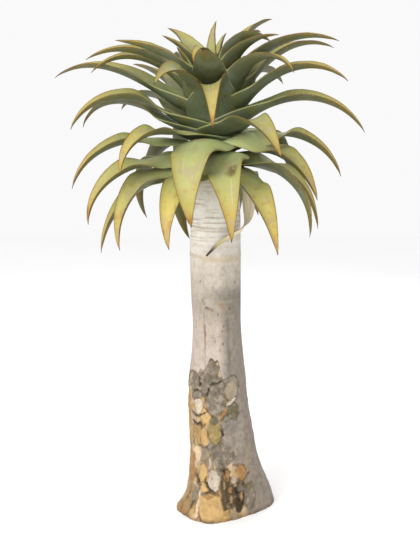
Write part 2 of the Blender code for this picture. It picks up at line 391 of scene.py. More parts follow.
class Painter:
    """Wires the nodes of one material."""

    def __init__(self, name: str) -> None:
        """Start a material.

        Args:
            name: The material's name.
        """
        self.material = bpy.data.materials.new(name)
        self.material.use_nodes = True
        self.tree = self.material.node_tree
        self.shader = self.tree.nodes["Principled BSDF"]
        self.shader.inputs["Metallic"].default_value = 0

    def node(self, kind: str, **settings: object) -> bpy.types.Node:
        """Add a node.

        Args:
            kind: The node's type.
            **settings: Its properties.

        Returns:
            The node.
        """
        made = self.tree.nodes.new(kind)
        for name, value in settings.items():
            setattr(made, name, value)
        return made

    def wire(self, source: Socket | float | Colour, target: Socket) -> None:
        """Link a socket, or set a plain value.

        Args:
            source: A socket, a number or a colour.
            target: The input to fill.
        """
        if isinstance(source, Socket):
            self.tree.links.new(source, target)
        elif isinstance(source, tuple) and len(target.default_value) == 4:
            target.default_value = (*source, 1)
        else:
            target.default_value = source

    def mark(self, name: str, colour: bool = False) -> Socket:
        """An attribute of the mesh: its number, or its colour."""
        made = self.node("ShaderNodeAttribute", attribute_name=name)
        return made.outputs["Color" if colour else "Fac"]

    def place(self) -> Socket:
        """Places in the object's own metres."""
        return self.node("ShaderNodeTexCoord").outputs["Object"]

    def stretched(self, source: Socket, scale: Triple) -> Socket:
        """Scale places along each axis.

        Args:
            source: The places.
            scale: How much, along each axis.

        Returns:
            The scaled places.
        """
        made = self.node("ShaderNodeMapping")
        self.wire(source, made.inputs["Vector"])
        made.inputs["Scale"].default_value = scale
        return made.outputs["Vector"]

    def joined(self, *parts: Socket | float) -> Socket:
        """Join three numbers in one vector.

        Args:
            *parts: The numbers.

        Returns:
            The vector.
        """
        made = self.node("ShaderNodeCombineXYZ")
        for part, target in zip(parts, made.inputs):
            self.wire(part, target)
        return made.outputs["Vector"]

    def noise(self, source: Socket, scale: float, detail: float = 3) -> Socket:
        """Add cloudy noise.

        Args:
            source: The places where it is read.
            scale: How fine it is.
            detail: How many finer layers it has.

        Returns:
            Numbers from 0 to 1.
        """
        made = self.node("ShaderNodeTexNoise")
        self.wire(source, made.inputs["Vector"])
        made.inputs["Scale"].default_value = scale
        made.inputs["Detail"].default_value = detail
        return made.outputs["Fac"]

    def math(self, kind: str, *parts: Socket | float) -> Socket:
        """Work out a sum.

        Args:
            kind: Blender's name for the kind of sum.
            *parts: The numbers that go into it.

        Returns:
            Its result.
        """
        made = self.node("ShaderNodeMath", operation=kind)
        for part, target in zip(parts, made.inputs):
            self.wire(part, target)
        return made.outputs["Value"]

    def times(self, first: Socket | float, second: Socket | float) -> Socket:
        """The product of two numbers."""
        return self.math("MULTIPLY", first, second)

    def plus(self, first: Socket | float, second: Socket | float) -> Socket:
        """The sum of two numbers."""
        return self.math("ADD", first, second)

    def swayed(self, source: Socket, pattern: Socket, reach: float) -> Socket:
        """A number that a pattern moves up and down, by half of the reach each way."""
        return self.plus(source, self.times(self.math("SUBTRACT", pattern, 0.5), reach))

    def ramp(self, source: Socket, low: float, high: float) -> Socket:
        """Ease from 0 to 1 as the source goes from low to high.

        Args:
            source: The number to read.
            low: Where the result is still 0.
            high: Where it has reached 1.

        Returns:
            A number from 0 to 1.
        """
        made = self.node("ShaderNodeMapRange", interpolation_type="SMOOTHSTEP")
        self.wire(source, made.inputs["Value"])
        made.inputs["From Min"].default_value = low
        made.inputs["From Max"].default_value = high
        return made.outputs["Result"]

    def tints(self, source: Socket, stops: Stops) -> Socket:
        """Run through the colours of some stops.

        Args:
            source: The number that says where, from 0 to 1.
            stops: Positions, each with a screen colour.

        Returns:
            The colour there.
        """
        made = self.node("ShaderNodeValToRGB")
        self.wire(source, made.inputs["Fac"])
        bands = made.color_ramp.elements
        while len(bands) < len(stops):
            bands.new(0.5)
        for band, (position, colour) in zip(bands, stops):
            band.position = position
            band.color = (*linear(colour), 1)
        return made.outputs["Color"]

    def mix(
        self, share: Socket | float, first: Socket | Colour, second: Socket | Colour, blend: str = "MIX"
    ) -> Socket:
        """Blend two colours.

        Args:
            share: How much of the second.
            first: A colour socket, or a screen colour.
            second: A colour socket, or a screen colour.
            blend: Blender's name for the way they blend.

        Returns:
            The blended colour.
        """
        made = self.node("ShaderNodeMix", data_type="RGBA", blend_type=blend)
        self.wire(share, made.inputs["Factor"])
        for source, target in ((first, made.inputs["A"]), (second, made.inputs["B"])):
            if isinstance(source, tuple):
                source = tuple(float(part) for part in linear(source))
            named = (plug for plug in made.inputs if plug.name == target.name and plug.type == "RGBA")
            self.wire(source, next(named))
        return next(plug for plug in made.outputs if plug.type == "RGBA")

    def stain(self, base: Socket, stain: Stain, *limits: Socket, pattern: Socket | None = None) -> Socket:
        """Lay a stain over a colour.

        Args:
            base: The colour.
            stain: The stain.
            *limits: Shares from 0 to 1 that hold it back.
            pattern: What it follows, if not clouds of its own scale.

        Returns:
            The stained colour.
        """
        if pattern is None:
            pattern = self.noise(self.place(), stain.scale, stain.detail)
        share = self.ramp(pattern, stain.low, stain.high)
        for limit in limits:
            share = self.times(share, limit)
        if stain.strength < 1:
            share = self.times(share, stain.strength)
        return self.mix(share, base, stain.colour)

    def relief(self, height: Socket, depth: float, strength: float = 1.0) -> None:
        """Bend the shading as if the surface stood out.

        Args:
            height: How far it stands out, as a share of the depth.
            depth: How far that is at height 1, in metres.
            strength: How strongly the shading bends, from 0 to 1.
        """
        made = self.node("ShaderNodeBump")
        made.inputs["Strength"].default_value = strength
        made.inputs["Distance"].default_value = depth
        self.wire(height, made.inputs["Height"])
        self.wire(made.outputs["Normal"], self.shader.inputs["Normal"])

    def finish(self, colour: Socket, roughness: Socket | float, gloss: float = 0.5) -> bpy.types.Material:
        """Wire the shader and hand the material over.

        Args:
            colour: Its colour.
            roughness: How rough it is, from 0 to 1.
            gloss: How strongly it mirrors light, 0.5 being usual.

        Returns:
            The material.
        """
        self.wire(colour, self.shader.inputs["Base Color"])
        self.wire(roughness, self.shader.inputs["Roughness"])
        self.shader.inputs["Specular IOR Level"].default_value = gloss
        return self.material


@dataclass(frozen=True)
class LeafSkin:
    """Waxy leaf skin: paler and yellower above, olive below, darkened there in part by painted shade, with
    yellow-brown margins and dark tips.

    A span is the pair of places between which something eases from nothing to full: shares of the leaf's
    length, or places across it from 0 at the keel to 1 at a margin.
    """

    above: Stops = (
        (0.0, (0.58, 0.65, 0.44)),
        (0.30, (0.62, 0.67, 0.47)),
        (0.65, (0.62, 0.63, 0.42)),
        (0.92, (0.63, 0.56, 0.29)),
        (1.0, (0.52, 0.38, 0.16)),
    )
    above_gold: Stops = (
        (0.0, (0.61, 0.68, 0.44)),
        (0.30, (0.68, 0.70, 0.43)),
        (0.60, (0.73, 0.68, 0.36)),
        (0.85, (0.76, 0.65, 0.29)),
        (1.0, (0.65, 0.45, 0.18)),
    )
    # the lower face's tints: its own olive, darker than the upper face in part as painted shade
    below: Stops = (
        (0.0, (0.49, 0.54, 0.38)),
        (0.12, (0.34, 0.38, 0.27)),
        (0.35, (0.30, 0.32, 0.22)),
        (0.75, (0.35, 0.36, 0.21)),
        (0.93, (0.43, 0.36, 0.14)),
        (1.0, (0.35, 0.22, 0.08)),
    )
    edge: Stops = (
        (0.0, (0.60, 0.64, 0.43)),
        (0.5, (0.65, 0.62, 0.33)),
        (0.9, (0.64, 0.52, 0.20)),
        (1.0, (0.42, 0.28, 0.10)),
    )
    margin: Stops = (
        (0.0, (0.62, 0.66, 0.46)),
        (0.27, (0.62, 0.63, 0.41)),
        (0.45, (0.48, 0.40, 0.20)),
        (0.7, (0.42, 0.30, 0.12)),
        (0.95, (0.32, 0.20, 0.08)),
        (1.0, (0.24, 0.14, 0.07)),
    )
    mauve: Stain = Stain((0.62, 0.56, 0.45), 0.46, 0.62, 0.55, 17)
    lime: Stain = Stain((0.64, 0.65, 0.32), 0.52, 0.66, 0.40, 24)
    pale_streaks: Stain = Stain((0.78, 0.74, 0.55), 0.52, 0.75, 0.40)
    rust: Stain = Stain((0.60, 0.43, 0.21), 0.54, 0.70, 0.65, 31, 4)
    bruise: Stain = Stain((0.44, 0.38, 0.22), 0.20, 0.50, 1.00, 60)
    bloom: Stain = Stain((0.40, 0.43, 0.36), 0.47, 0.62, 0.50, 13)
    olive: Stain = Stain((0.38, 0.37, 0.18), 0.56, 0.72, 0.70, 19)
    dusty_streaks: Stain = Stain((0.47, 0.49, 0.38), 0.48, 0.80, 0.25)
    age: Stain = Stain((0.47, 0.37, 0.14), 0.46, 0.62, 0.60, 36)
    flecks: Stain = Stain((0.38, 0.25, 0.13), 0.52, 0.62, 0.75, 130, 2)
    scurf: Stain = Stain((0.84, 0.84, 0.72), 0.60, 0.80, 0.20, 220)
    tip: Stain = Stain((0.24, 0.15, 0.08), 0.965, 0.998)
    tooth: Colour = (0.50, 0.36, 0.16)
    lime_stretch: Triple = (1.3, 1.1, 0.9)
    mauve_limit: Span = (0.5, 0.95)  # across, where the mauve fades out
    edge_across: Span = (0.6, 0.95)
    edge_along: Span = (0.1, 0.5)
    edge_strength: float = 0.7
    rust_along: Span = (0.25, 0.6)
    rust_least: float = 0.2  # share of the rust that shows on a leaf with no gold and no painted light
    olive_edge: float = 0.10  # how much more olive the margins are
    age_along: Span = (0.45, 0.9)
    fleck_across: Span = (0.9, 0.99)
    fleck_along: Span = (0.2, 0.75)
    rim: Span = (0.945, 0.99)
    rim_strength: float = 0.9
    rim_waver: float = 0.06
    cloud_scale: float = 14
    cloud_drift: float = 0.35  # how far clouds shift the colours along the leaf
    streaks_across: float = 9
    streaks_along: float = 2.2
    grain_shares: Triple = (0.8, 0.3, 0.8)  # of streaks, scurf and clouds in its relief
    grain_depth: float = 0.0022
    grain_strength: float = 0.6
    roughness: float = 0.46
    rough_clouds: float = 0.2  # how much rougher the clouds make it
    gloss: float = 0.3

    def upper_face(self, paint: Painter, drift: Socket, streaks: Socket) -> Socket:
        """The colour of the upper face.

        Args:
            paint: The material's painter.
            drift: Places along the leaf, shifted by clouds.
            streaks: Streaks along the leaf.

        Returns:
            The colour.
        """
        along, gold_and_light = paint.mark("along"), paint.mark("gold_and_light")
        away = paint.math("ABSOLUTE", paint.mark("across"))
        # towards the gold tints the face is yellower and, in part as painted light, lighter
        top = paint.mix(gold_and_light, paint.tints(drift, self.above), paint.tints(drift, self.above_gold))
        top = paint.stain(top, self.mauve, paint.math("SUBTRACT", 1.0, paint.ramp(away, *self.mauve_limit)))
        patches = paint.noise(paint.stretched(paint.place(), self.lime_stretch), self.lime.scale)
        top = paint.stain(top, self.lime, pattern=patches)
        top = paint.stain(top, self.pale_streaks, pattern=streaks)
        edge = paint.times(paint.ramp(away, *self.edge_across), paint.ramp(along, *self.edge_along))
        top = paint.mix(paint.times(edge, self.edge_strength), top, paint.tints(drift, self.edge))
        gold_and_light_share = paint.plus(paint.times(gold_and_light, 1 - self.rust_least), self.rust_least)
        top = paint.stain(top, self.rust, paint.times(gold_and_light_share, paint.ramp(along, *self.rust_along)))
        return paint.stain(top, self.bruise, paint.mark("bruise"))

    def lower_face(self, paint: Painter, drift: Socket, streaks: Socket) -> Socket:
        """The colour of the lower face.

        Args:
            paint: The material's painter.
            drift: Places along the leaf, shifted by clouds.
            streaks: Streaks along the leaf.

        Returns:
            The colour.
        """
        away = paint.math("ABSOLUTE", paint.mark("across"))
        under = paint.stain(paint.tints(drift, self.below), self.bloom)
        patches = paint.plus(paint.noise(paint.place(), self.olive.scale), paint.times(away, self.olive_edge))
        under = paint.stain(under, self.olive, pattern=patches)
        under = paint.stain(under, self.dusty_streaks, pattern=streaks)
        return paint.stain(under, self.age, paint.ramp(paint.mark("along"), *self.age_along))

    def material(self) -> bpy.types.Material:
        """Wire the skin.

        Returns:
            The material.
        """
        paint = Painter("leaf_skin")
        along, across, place = paint.mark("along"), paint.mark("across"), paint.place()
        clouds = paint.noise(place, self.cloud_scale, 4)
        across_lines = paint.times(across, self.streaks_across)
        along_lines = paint.times(along, self.streaks_along)
        streaks = paint.noise(paint.joined(across_lines, along_lines, paint.mark("lot")), 1, 4)
        drift = paint.swayed(along, clouds, self.cloud_drift)
        faces = self.lower_face(paint, drift, streaks), self.upper_face(paint, drift, streaks)
        skin = paint.mix(paint.mark("upper"), *faces)
        away = paint.math("ABSOLUTE", across)
        rim = paint.ramp(paint.swayed(away, streaks, self.rim_waver), *self.rim)
        skin = paint.mix(paint.times(rim, self.rim_strength), skin, paint.tints(drift, self.margin))
        limits = paint.ramp(away, *self.fleck_across), paint.ramp(along, *self.fleck_along)
        skin = paint.stain(skin, self.flecks, *limits)
        skin = paint.mix(paint.mark("tooth"), skin, self.tooth)
        skin = paint.stain(skin, self.tip, pattern=along)
        fine = paint.noise(place, self.scurf.scale)
        skin = paint.stain(skin, self.scurf, pattern=fine)
        streaked, scurfy, cloudy = self.grain_shares
        grain = paint.plus(paint.times(streaks, streaked), paint.times(fine, scurfy))
        paint.relief(paint.plus(grain, paint.times(clouds, cloudy)), self.grain_depth, self.grain_strength)
        rough = paint.plus(paint.times(clouds, self.rough_clouds), self.roughness)
        return paint.finish(skin, rough, self.gloss)


@dataclass(frozen=True)
class BarkSkin:
    """Bark whose broad tones are painted on the mesh, with fine grain over them."""

    speck: Stain = Stain((0.24, 0.21, 0.17), 0.50, 0.68, 0.55, 210, 4)
    grey: Stain = Stain((0.33, 0.30, 0.25), 0.50, 0.66, 0.50, 46, 4)
    chalk: Stain = Stain((0.72, 0.68, 0.61), 0.48, 0.34, 0.35)
    scar: Stain = Stain((0.62, 0.53, 0.42), 0.53, 0.62, 0.60, 16, 4)
    pale_ring: Stain = Stain((0.90, 0.88, 0.84), 0.47, 0.38, 0.50)
    upright: Triple = (1.0, 1.0, 0.4)  # stretches the grain up the trunk
    level: Triple = (0.32, 0.32, 8.0)  # flattens the scars into rings
    grain_scale: float = 130
    grain_shade: float = 0.4
    scar_smoothing: float = 0.8  # how much lower the grain is on the rings of scars
    speck_relief: float = 0.5  # of the specks beside the grain
    relief_share: Span = (0.5, 1.2)  # of the relief on plain bark, and how much more on speckled bark
    grain_depth: float = 0.003
    grain_strength: float = 0.75
    roughness: float = 0.86
    gloss: float = 0.2

    def material(self) -> bpy.types.Material:
        """Wire the bark.

        Returns:
            The material.
        """
        paint = Painter("bark_skin")
        speckled, ringed, place = paint.mark("speckled"), paint.mark("ringed"), paint.place()
        grain = paint.noise(paint.stretched(place, self.upright), self.grain_scale, 5)
        specks = paint.noise(place, self.speck.scale, self.speck.detail)
        blotches = paint.noise(place, self.grey.scale, self.grey.detail)
        scars = paint.noise(paint.stretched(place, self.level), self.scar.scale, self.scar.detail)
        light = paint.plus(paint.times(grain, self.grain_shade), 1 - self.grain_shade / 2)
        tone = paint.mark("tone", colour=True)
        colour = paint.mix(1.0, tone, paint.joined(light, light, light), "MULTIPLY")
        for stain, limit, pattern in (
            (self.speck, speckled, specks),
            (self.grey, speckled, blotches),
            (self.chalk, speckled, blotches),
            (self.scar, ringed, scars),
            (self.pale_ring, ringed, scars),
        ):
            colour = paint.stain(colour, stain, limit, pattern=pattern)
        rings = paint.times(paint.ramp(scars, self.scar.low, self.scar.high), ringed)
        grain = paint.math("SUBTRACT", grain, paint.times(rings, self.scar_smoothing))
        plain, more = self.relief_share
        rough = paint.plus(paint.times(speckled, more), plain)
        bumps = paint.times(paint.plus(grain, paint.times(specks, self.speck_relief)), rough)
        paint.relief(bumps, self.grain_depth, self.grain_strength)
        return paint.finish(colour, self.roughness, self.gloss)


@dataclass(frozen=True)
class StrawSkin:
    """Papery straw of the withered leaf: cream, ribbed along its length, with a dark tip."""

    straw: Stops = ((0.25, (0.74, 0.66, 0.50)), (0.5, (0.88, 0.83, 0.70)), (0.75, (0.93, 0.89, 0.79)))
    margin: Stain = Stain((0.80, 0.66, 0.40), 0.80, 1.00, 0.45)
    green: Stain = Stain((0.70, 0.66, 0.42), 0.74, 0.86, 0.70)
    tip: Stain = Stain((0.30, 0.26, 0.20), 0.86, 0.95)
    ribs_across: float = 7
    ribs_along: float = 3
    rib_scale: float = 1.6
    rib_depth: float = 0.002
    rib_strength: float = 0.8
    roughness: float = 0.75
    gloss: float = 0.25

    def material(self) -> bpy.types.Material:
        """Wire the straw.

        Returns:
            The material.
        """
        paint = Painter("straw_skin")
        along, across = paint.mark("along"), paint.mark("across")
        lines = paint.joined(paint.times(across, self.ribs_across), paint.times(along, self.ribs_along), 0.3)
        ribs = paint.noise(lines, self.rib_scale, 4)
        colour = paint.tints(ribs, self.straw)
        colour = paint.stain(colour, self.margin, pattern=paint.math("ABSOLUTE", across))
        colour = paint.stain(colour, self.green, pattern=along)
        colour = paint.stain(colour, self.tip, pattern=along)
        paint.relief(ribs, self.rib_depth, self.rib_strength)
        return paint.finish(colour, self.roughness, self.gloss)


@dataclass(frozen=True)
class FloorPaint:
    """Plain pale floor."""

    colour: Colour = (0.99, 0.99, 0.99)
    shade: float = 0.985  # how much of that shows in its faint clouds
    cloud_scale: float = 1.5
    roughness: float = 0.9

    def material(self) -> bpy.types.Material:
        """Wire the floor.

        Returns:
            The material.
        """
        paint = Painter("floor_paint")
        cloud = paint.noise(paint.place(), self.cloud_scale, 2)
        tint = paint.mix(cloud, self.colour, tuple(part * self.shade for part in self.colour))
        return paint.finish(tint, self.roughness)


# ---------------------------------------------------------------- trunk
# Height, radius and sideways lean of the trunk, from the ground to the growing tip.
TRUNK_FORM = np.array((
    (0.000, 0.165, 0.000),
    (0.018, 0.164, -0.002),
    (0.045, 0.162, -0.004),
    (0.110, 0.153, -0.008),
    (0.200, 0.139, -0.016),
    (0.320, 0.128, -0.027),
    (0.440, 0.119, -0.040),
    (0.540, 0.112, -0.042),
    (0.660, 0.100, -0.043),
    (0.760, 0.094, -0.045),
    (0.860, 0.096, -0.048),
    (1.100, 0.097, -0.051),
    (1.200, 0.094, -0.050),
    (1.290, 0.086, -0.048),
    (1.365, 0.078, -0.048),
    (1.450, 0.074, -0.053),
    (1.530, 0.068, -0.057),
    (1.590, 0.058, -0.060),
    (1.635, 0.042, -0.062),
    (1.670, 0.022, -0.063),
    (1.690, 0.004, -0.064),
))
FULL_TURN = 360  # degrees
# Root flare: heading, how far it stands out, half width in degrees, and the height where it has faded.
FOOT_LOBES = (
    (-55, 0.040, 62, 0.14),
    (-84, 0.022, 26, 0.07),
    (22, -0.026, 38, 0.30),
    (52, -0.020, 34, 0.30),
    (108, 0.031, 44, 0.30),
    (-160, 0.014, 45, 0.25),
)


def trunk_radius(height: Array | float) -> Array:
    """The trunk's radius at a height."""
    return curve_at(height, TRUNK_FORM)


def trunk_axis(height: Array | float) -> Array:
    """The middle of the trunk at a height."""
    lean = curve_at(height, TRUNK_FORM, 2)
    return np.stack([lean, np.zeros_like(lean), height + np.zeros_like(lean)], -1)


def turn_between(heading: Array, centre: Array | float) -> Array:
    """The short way round from a centre to headings, in degrees."""
    return (heading - centre + FULL_TURN / 2) % FULL_TURN - FULL_TURN / 2


class Tone(Enum):
    """Bark colours as a screen shows them, each with how speckled that bark is, from 0 to 1."""

    CREAM = (0.79, 0.69, 0.56, 0.15)
    PALE_TAN = (0.61, 0.55, 0.465, 0.5)
    ROSE_TAN = (0.70, 0.61, 0.52, 0.2)
    GOLD = (0.65, 0.535, 0.355, 0.35)
    HONEY = (0.73, 0.60, 0.395, 0.25)
    TAN = (0.60, 0.50, 0.35, 0.4)
    ORANGE = (0.63, 0.47, 0.29, 0.45)
    UMBER = (0.36, 0.285, 0.195, 1.0)
    KNOT = (0.25, 0.19, 0.125, 0.6)
    CRACK = (0.18, 0.15, 0.11, 0.3)
    ROUGH_GREY = (0.50, 0.455, 0.395, 1.0)
    SMOOTH_GREY = (0.535, 0.495, 0.45, 0.4)
    CHALK = (0.76, 0.705, 0.63, 0.15)
    MOSS = (0.57, 0.50, 0.32, 0.35)
    OLIVE = (0.44, 0.41, 0.31, 0.8)
    GROOVE = (0.46, 0.42, 0.36, 0.3)
    RING = (0.70, 0.63, 0.52, 0.1)
    SHEATH = (0.50, 0.54, 0.38, 0.0)


@dataclass(frozen=True)
class BarkPatch:
    """A flake, plate or stain on the bark."""

    tone: Tone
    heading: float
    height: float
    half_width: float
    half_height: float
    relief: float = 0.0  # how far it stands out
    ragged: float = 0.35  # how uneven its outline is
    rim: float = 0.4  # how dark the crack round it is, from 0 to 1
    lean: float = 0.0  # degrees from upright


@dataclass(frozen=True)
class BarkCrack:
    """A crack or groove that runs through places on the bark, each a heading and a height."""

    route: tuple[tuple[float, float], ...]
    half_width: float = 0.003
    depth: float = 0.003
    darkness: float = 0.9
    waver: float = 0.004
    tone: Tone = Tone.CRACK


# Where the smooth outer bark ends and the older bark under it shows: heading and height.
PEEL_EDGE = np.array((
    (-180, 0.46), (-150, 0.52), (-120, 0.50), (-96, 0.50), (-84, 0.55), (-76, 0.575),
    (-58, 0.575), (-48, 0.565), (-38, 0.60), (-30, 0.595), (-22, 0.625), (-12, 0.642),
    (-6, 0.628), (2, 0.630), (8, 0.58), (14, 0.552), (24, 0.575), (38, 0.578),
    (45, 0.545), (50, 0.42), (60, 0.20), (72, 0.05), (110, 0.04), (128, 0.20),
    (150, 0.40), (180, 0.46),
))
BARK_PATCHES = (
    BarkPatch(Tone.SMOOTH_GREY, 24, 0.34, 0.047, 0.09, 0.001, 0.4, 0.2),
    BarkPatch(Tone.GOLD, -74, 0.385, 0.032, 0.1, 0.002, 0.4, 0.3),
    BarkPatch(Tone.ORANGE, -68, 0.193, 0.026, 0.06, 0.002, 0.4, 0.3),
    BarkPatch(Tone.ROSE_TAN, -55, 0.4, 0.018, 0.036, 0.002, 0.45, 0.5),
    BarkPatch(Tone.ROSE_TAN, -52, 0.482, 0.02, 0.024, 0.002, 0.45, 0.4),
    BarkPatch(Tone.ROUGH_GREY, -9, 0.532, 0.044, 0.048, -0.001, 0.5, 0.35),
    BarkPatch(Tone.ROUGH_GREY, -6, 0.465, 0.036, 0.042, -0.001, 0.5, 0.3),
    BarkPatch(Tone.ROUGH_GREY, -10, 0.604, 0.022, 0.026, 0.0, 0.5, 0.3),
    BarkPatch(Tone.ROUGH_GREY, -36, 0.56, 0.018, 0.03, 0.001, 0.5, 0.3),
    BarkPatch(Tone.ROUGH_GREY, -52, 0.548, 0.022, 0.036, 0.002, 0.45, 0.9),
    BarkPatch(Tone.PALE_TAN, -72, 0.54, 0.012, 0.03, 0.003, 0.4, 0.9),
    BarkPatch(Tone.ROUGH_GREY, -45, 0.495, 0.024, 0.02, 0.001, 0.5, 0.4),
    BarkPatch(Tone.PALE_TAN, 27, 0.516, 0.026, 0.036, 0.004, 0.35, 0.7),
    BarkPatch(Tone.CHALK, -40, 0.453, 0.014, 0.028, 0.004, 0.35, 0.7),
    BarkPatch(Tone.OLIVE, 29, 0.437, 0.026, 0.032, 0.001, 0.5, 0.8),
    BarkPatch(Tone.CHALK, 25, 0.475, 0.022, 0.007, 0.005, 0.2, 0.6, -38),
    BarkPatch(Tone.ORANGE, 11, 0.432, 0.007, 0.022, 0.003, 0.4, 0.4, 28),
    BarkPatch(Tone.GOLD, -48, 0.33, 0.024, 0.044, 0.003, 0.4, 0.8),
    BarkPatch(Tone.HONEY, -30, 0.326, 0.016, 0.036, 0.004, 0.4, 0.7),
    BarkPatch(Tone.MOSS, -9, 0.358, 0.025, 0.047, 0.004, 0.3, 0.5),
    BarkPatch(Tone.OLIVE, -10, 0.402, 0.017, 0.012, 0.002, 0.5, 0.4),
    BarkPatch(Tone.ROUGH_GREY, -2, 0.26, 0.041, 0.04, 0.002, 0.55, 0.35),
    BarkPatch(Tone.ROUGH_GREY, -5, 0.19, 0.02, 0.028, 0.001, 0.5, 0.3),
    BarkPatch(Tone.PALE_TAN, 23, 0.273, 0.009, 0.014, 0.003, 0.4, 0.6),
    BarkPatch(Tone.CREAM, -47, 0.25, 0.017, 0.034, 0.003, 0.4, 0.4),
    BarkPatch(Tone.CHALK, -23, 0.228, 0.006, 0.028, 0.003, 0.35, 0.4),
    BarkPatch(Tone.CHALK, -18, 0.158, 0.022, 0.038, 0.002, 0.35, 0.5),
    BarkPatch(Tone.HONEY, -35, 0.182, 0.019, 0.034, 0.006, 0.3, 0.9),
    BarkPatch(Tone.HONEY, -34, 0.13, 0.017, 0.022, 0.005, 0.4, 0.7),
    BarkPatch(Tone.TAN, -60, 0.062, 0.03, 0.052, 0.003, 0.4, 0.5),
    BarkPatch(Tone.SMOOTH_GREY, -50, 0.095, 0.01, 0.044, -0.003, 0.4, 0.6),
    BarkPatch(Tone.CHALK, -52, 0.128, 0.005, 0.018, 0.004, 0.3, 0.4, -40),
    BarkPatch(Tone.HONEY, -22, 0.055, 0.042, 0.054, 0.007, 0.3, 0.8),
    BarkPatch(Tone.CREAM, -40, 0.062, 0.009, 0.05, 0.006, 0.3, 0.5),
    BarkPatch(Tone.ORANGE, -25, 0.096, 0.018, 0.007, 0.002, 0.5, 0.2),
    BarkPatch(Tone.UMBER, 2, 0.113, 0.024, 0.086, -0.002, 0.5, 0.5),
    BarkPatch(Tone.UMBER, 20, 0.1, 0.032, 0.06, -0.001, 0.5, 0.4),
    BarkPatch(Tone.ROUGH_GREY, 44, 0.085, 0.03, 0.05, 0.0, 0.6, 0.2),
    BarkPatch(Tone.ORANGE, 4, 0.188, 0.012, 0.02, 0.004, 0.5, 0.7),
    BarkPatch(Tone.ORANGE, 28, 0.19, 0.023, 0.034, 0.006, 0.4, 0.9),
    BarkPatch(Tone.KNOT, 22, 0.072, 0.019, 0.045, -0.003, 0.5, 0.6),
    BarkPatch(Tone.GROOVE, 23, 0.127, 0.023, 0.01, 0.007, 0.3, 0.8),
    BarkPatch(Tone.OLIVE, 40, 0.128, 0.022, 0.012, 0.003, 0.6, 0.4),
    BarkPatch(Tone.ORANGE, 7, 0.132, 0.007, 0.013, 0.005, 0.4, 0.8),
    BarkPatch(Tone.TAN, -2, 0.15, 0.006, 0.017, 0.005, 0.4, 0.8),
    BarkPatch(Tone.TAN, 7, 0.088, 0.007, 0.02, 0.005, 0.4, 0.8),
    BarkPatch(Tone.ROSE_TAN, 14, 0.16, 0.006, 0.024, 0.005, 0.4, 0.7),
    BarkPatch(Tone.GOLD, 2, 0.034, 0.022, 0.012, 0.005, 0.4, 0.7),
    BarkPatch(Tone.ORANGE, 25, 0.085, 0.006, 0.024, 0.006, 0.3, 0.8),
    BarkPatch(Tone.ORANGE, -67, 0.016, 0.03, 0.014, 0.002, 0.4, 0.5),
)
BARK_CRACKS = (
    # The first two cracks are in part painted shadow: dark lines along the right edge of the moss patch and
    # the lower edge of the olive patch to its right, over shallow grooves.
    BarkCrack(((18, 0.428), (5, 0.41), (2, 0.38), (4, 0.345)), 0.0045, 0.004, 0.8),
    BarkCrack(((4, 0.408), (13, 0.396), (22, 0.408), (34, 0.4), (42, 0.425)), 0.0045, 0.004, 0.8),
    BarkCrack((
        (-22, 0.5), (-14, 0.545), (0, 0.552), (10, 0.562),
        (22, 0.574), (36, 0.578), (45, 0.562), (46, 0.53),
    )),
    BarkCrack(((-62, 0.505), (-52, 0.508), (-40, 0.52), (-36, 0.545)), 0.003),
    BarkCrack(((-60, 0.425), (-52, 0.412), (-42, 0.411), (-28, 0.427)), 0.004, 0.004, 1.0),
    BarkCrack(((-56, 0.385), (-46, 0.376), (-38, 0.392), (-36, 0.365), (-27, 0.388)), 0.0035, 0.004, 1.0),
    BarkCrack(((-43, 0.293), (-37, 0.29)), 0.005, 0.006, 1.0),
    BarkCrack(((17, 0.226), (23, 0.22)), 0.005, 0.006, 1.0),
    BarkCrack(
        ((-30, 0.175), (-32, 0.155), (-28, 0.134), (-20, 0.12), (-14, 0.108)),
        0.0035, 0.004, 0.9, 0.004, Tone.KNOT,
    ),
    BarkCrack(((-52, 0.16), (-48, 0.11), (-51, 0.06), (-52, 0.01)), 0.004, 0.005, 0.8, 0.004, Tone.KNOT),
    BarkCrack(((-43, 0.15), (-44, 0.09), (-45, 0.03)), 0.003, 0.004, 0.7, 0.004, Tone.GROOVE),
    BarkCrack(((-62, 0.11), (-66, 0.06), (-66, 0.01)), 0.003, 0.004, 0.7, 0.004, Tone.KNOT),
    BarkCrack(((0, 0.205), (2, 0.165), (0, 0.125), (2, 0.085), (4, 0.03)), 0.004, 0.005, 0.8),
    BarkCrack(((14, 0.15), (26, 0.156), (36, 0.16), (44, 0.178)), 0.0035, 0.004, 0.8),
    BarkCrack(((15, 0.135), (19, 0.1), (24, 0.065), (34, 0.045)), 0.005, 0.006, 0.9),
    BarkCrack(((-28, 0.3), (-20, 0.245), (-24, 0.2), (-20, 0.17)), 0.0025, 0.003, 0.7),
    BarkCrack(((-48, 0.15), (-44, 0.115), (-46, 0.085)), 0.004, 0.005, 0.9),
    # The two upright grooves at about -30 and 27 degrees are darkened in part as painted shade.
    BarkCrack(
        ((-31, 0.822), (-29, 0.7), (-28, 0.64), (-26, 0.6)),
        0.004, 0.0025, 0.75, 0.002, Tone.GROOVE,
    ),
    BarkCrack(((27, 0.795), (28, 0.72), (27, 0.64), (26, 0.59)), 0.006, 0.0035, 0.85, 0.003, Tone.GROOVE),
    BarkCrack(((24, 0.935), (26, 0.9), (27, 0.86)), 0.002, -0.0015, 0.5, 0.002, Tone.GOLD),
    BarkCrack(((-33, 0.872), (-29, 0.858)), 0.006, 0.001, 0.55, 0.004, Tone.OLIVE),
    BarkCrack(((-24, 0.846), (-16, 0.842), (-10, 0.838)), 0.0045, 0.002, 0.85, 0.004, Tone.KNOT),
    BarkCrack(((8, 0.862), (12, 0.845)), 0.009, 0.0, 0.45, 0.006, Tone.ORANGE),
    BarkCrack(((26, 0.845), (30, 0.838)), 0.007, 0.0, 0.4, 0.006, Tone.ORANGE),
)
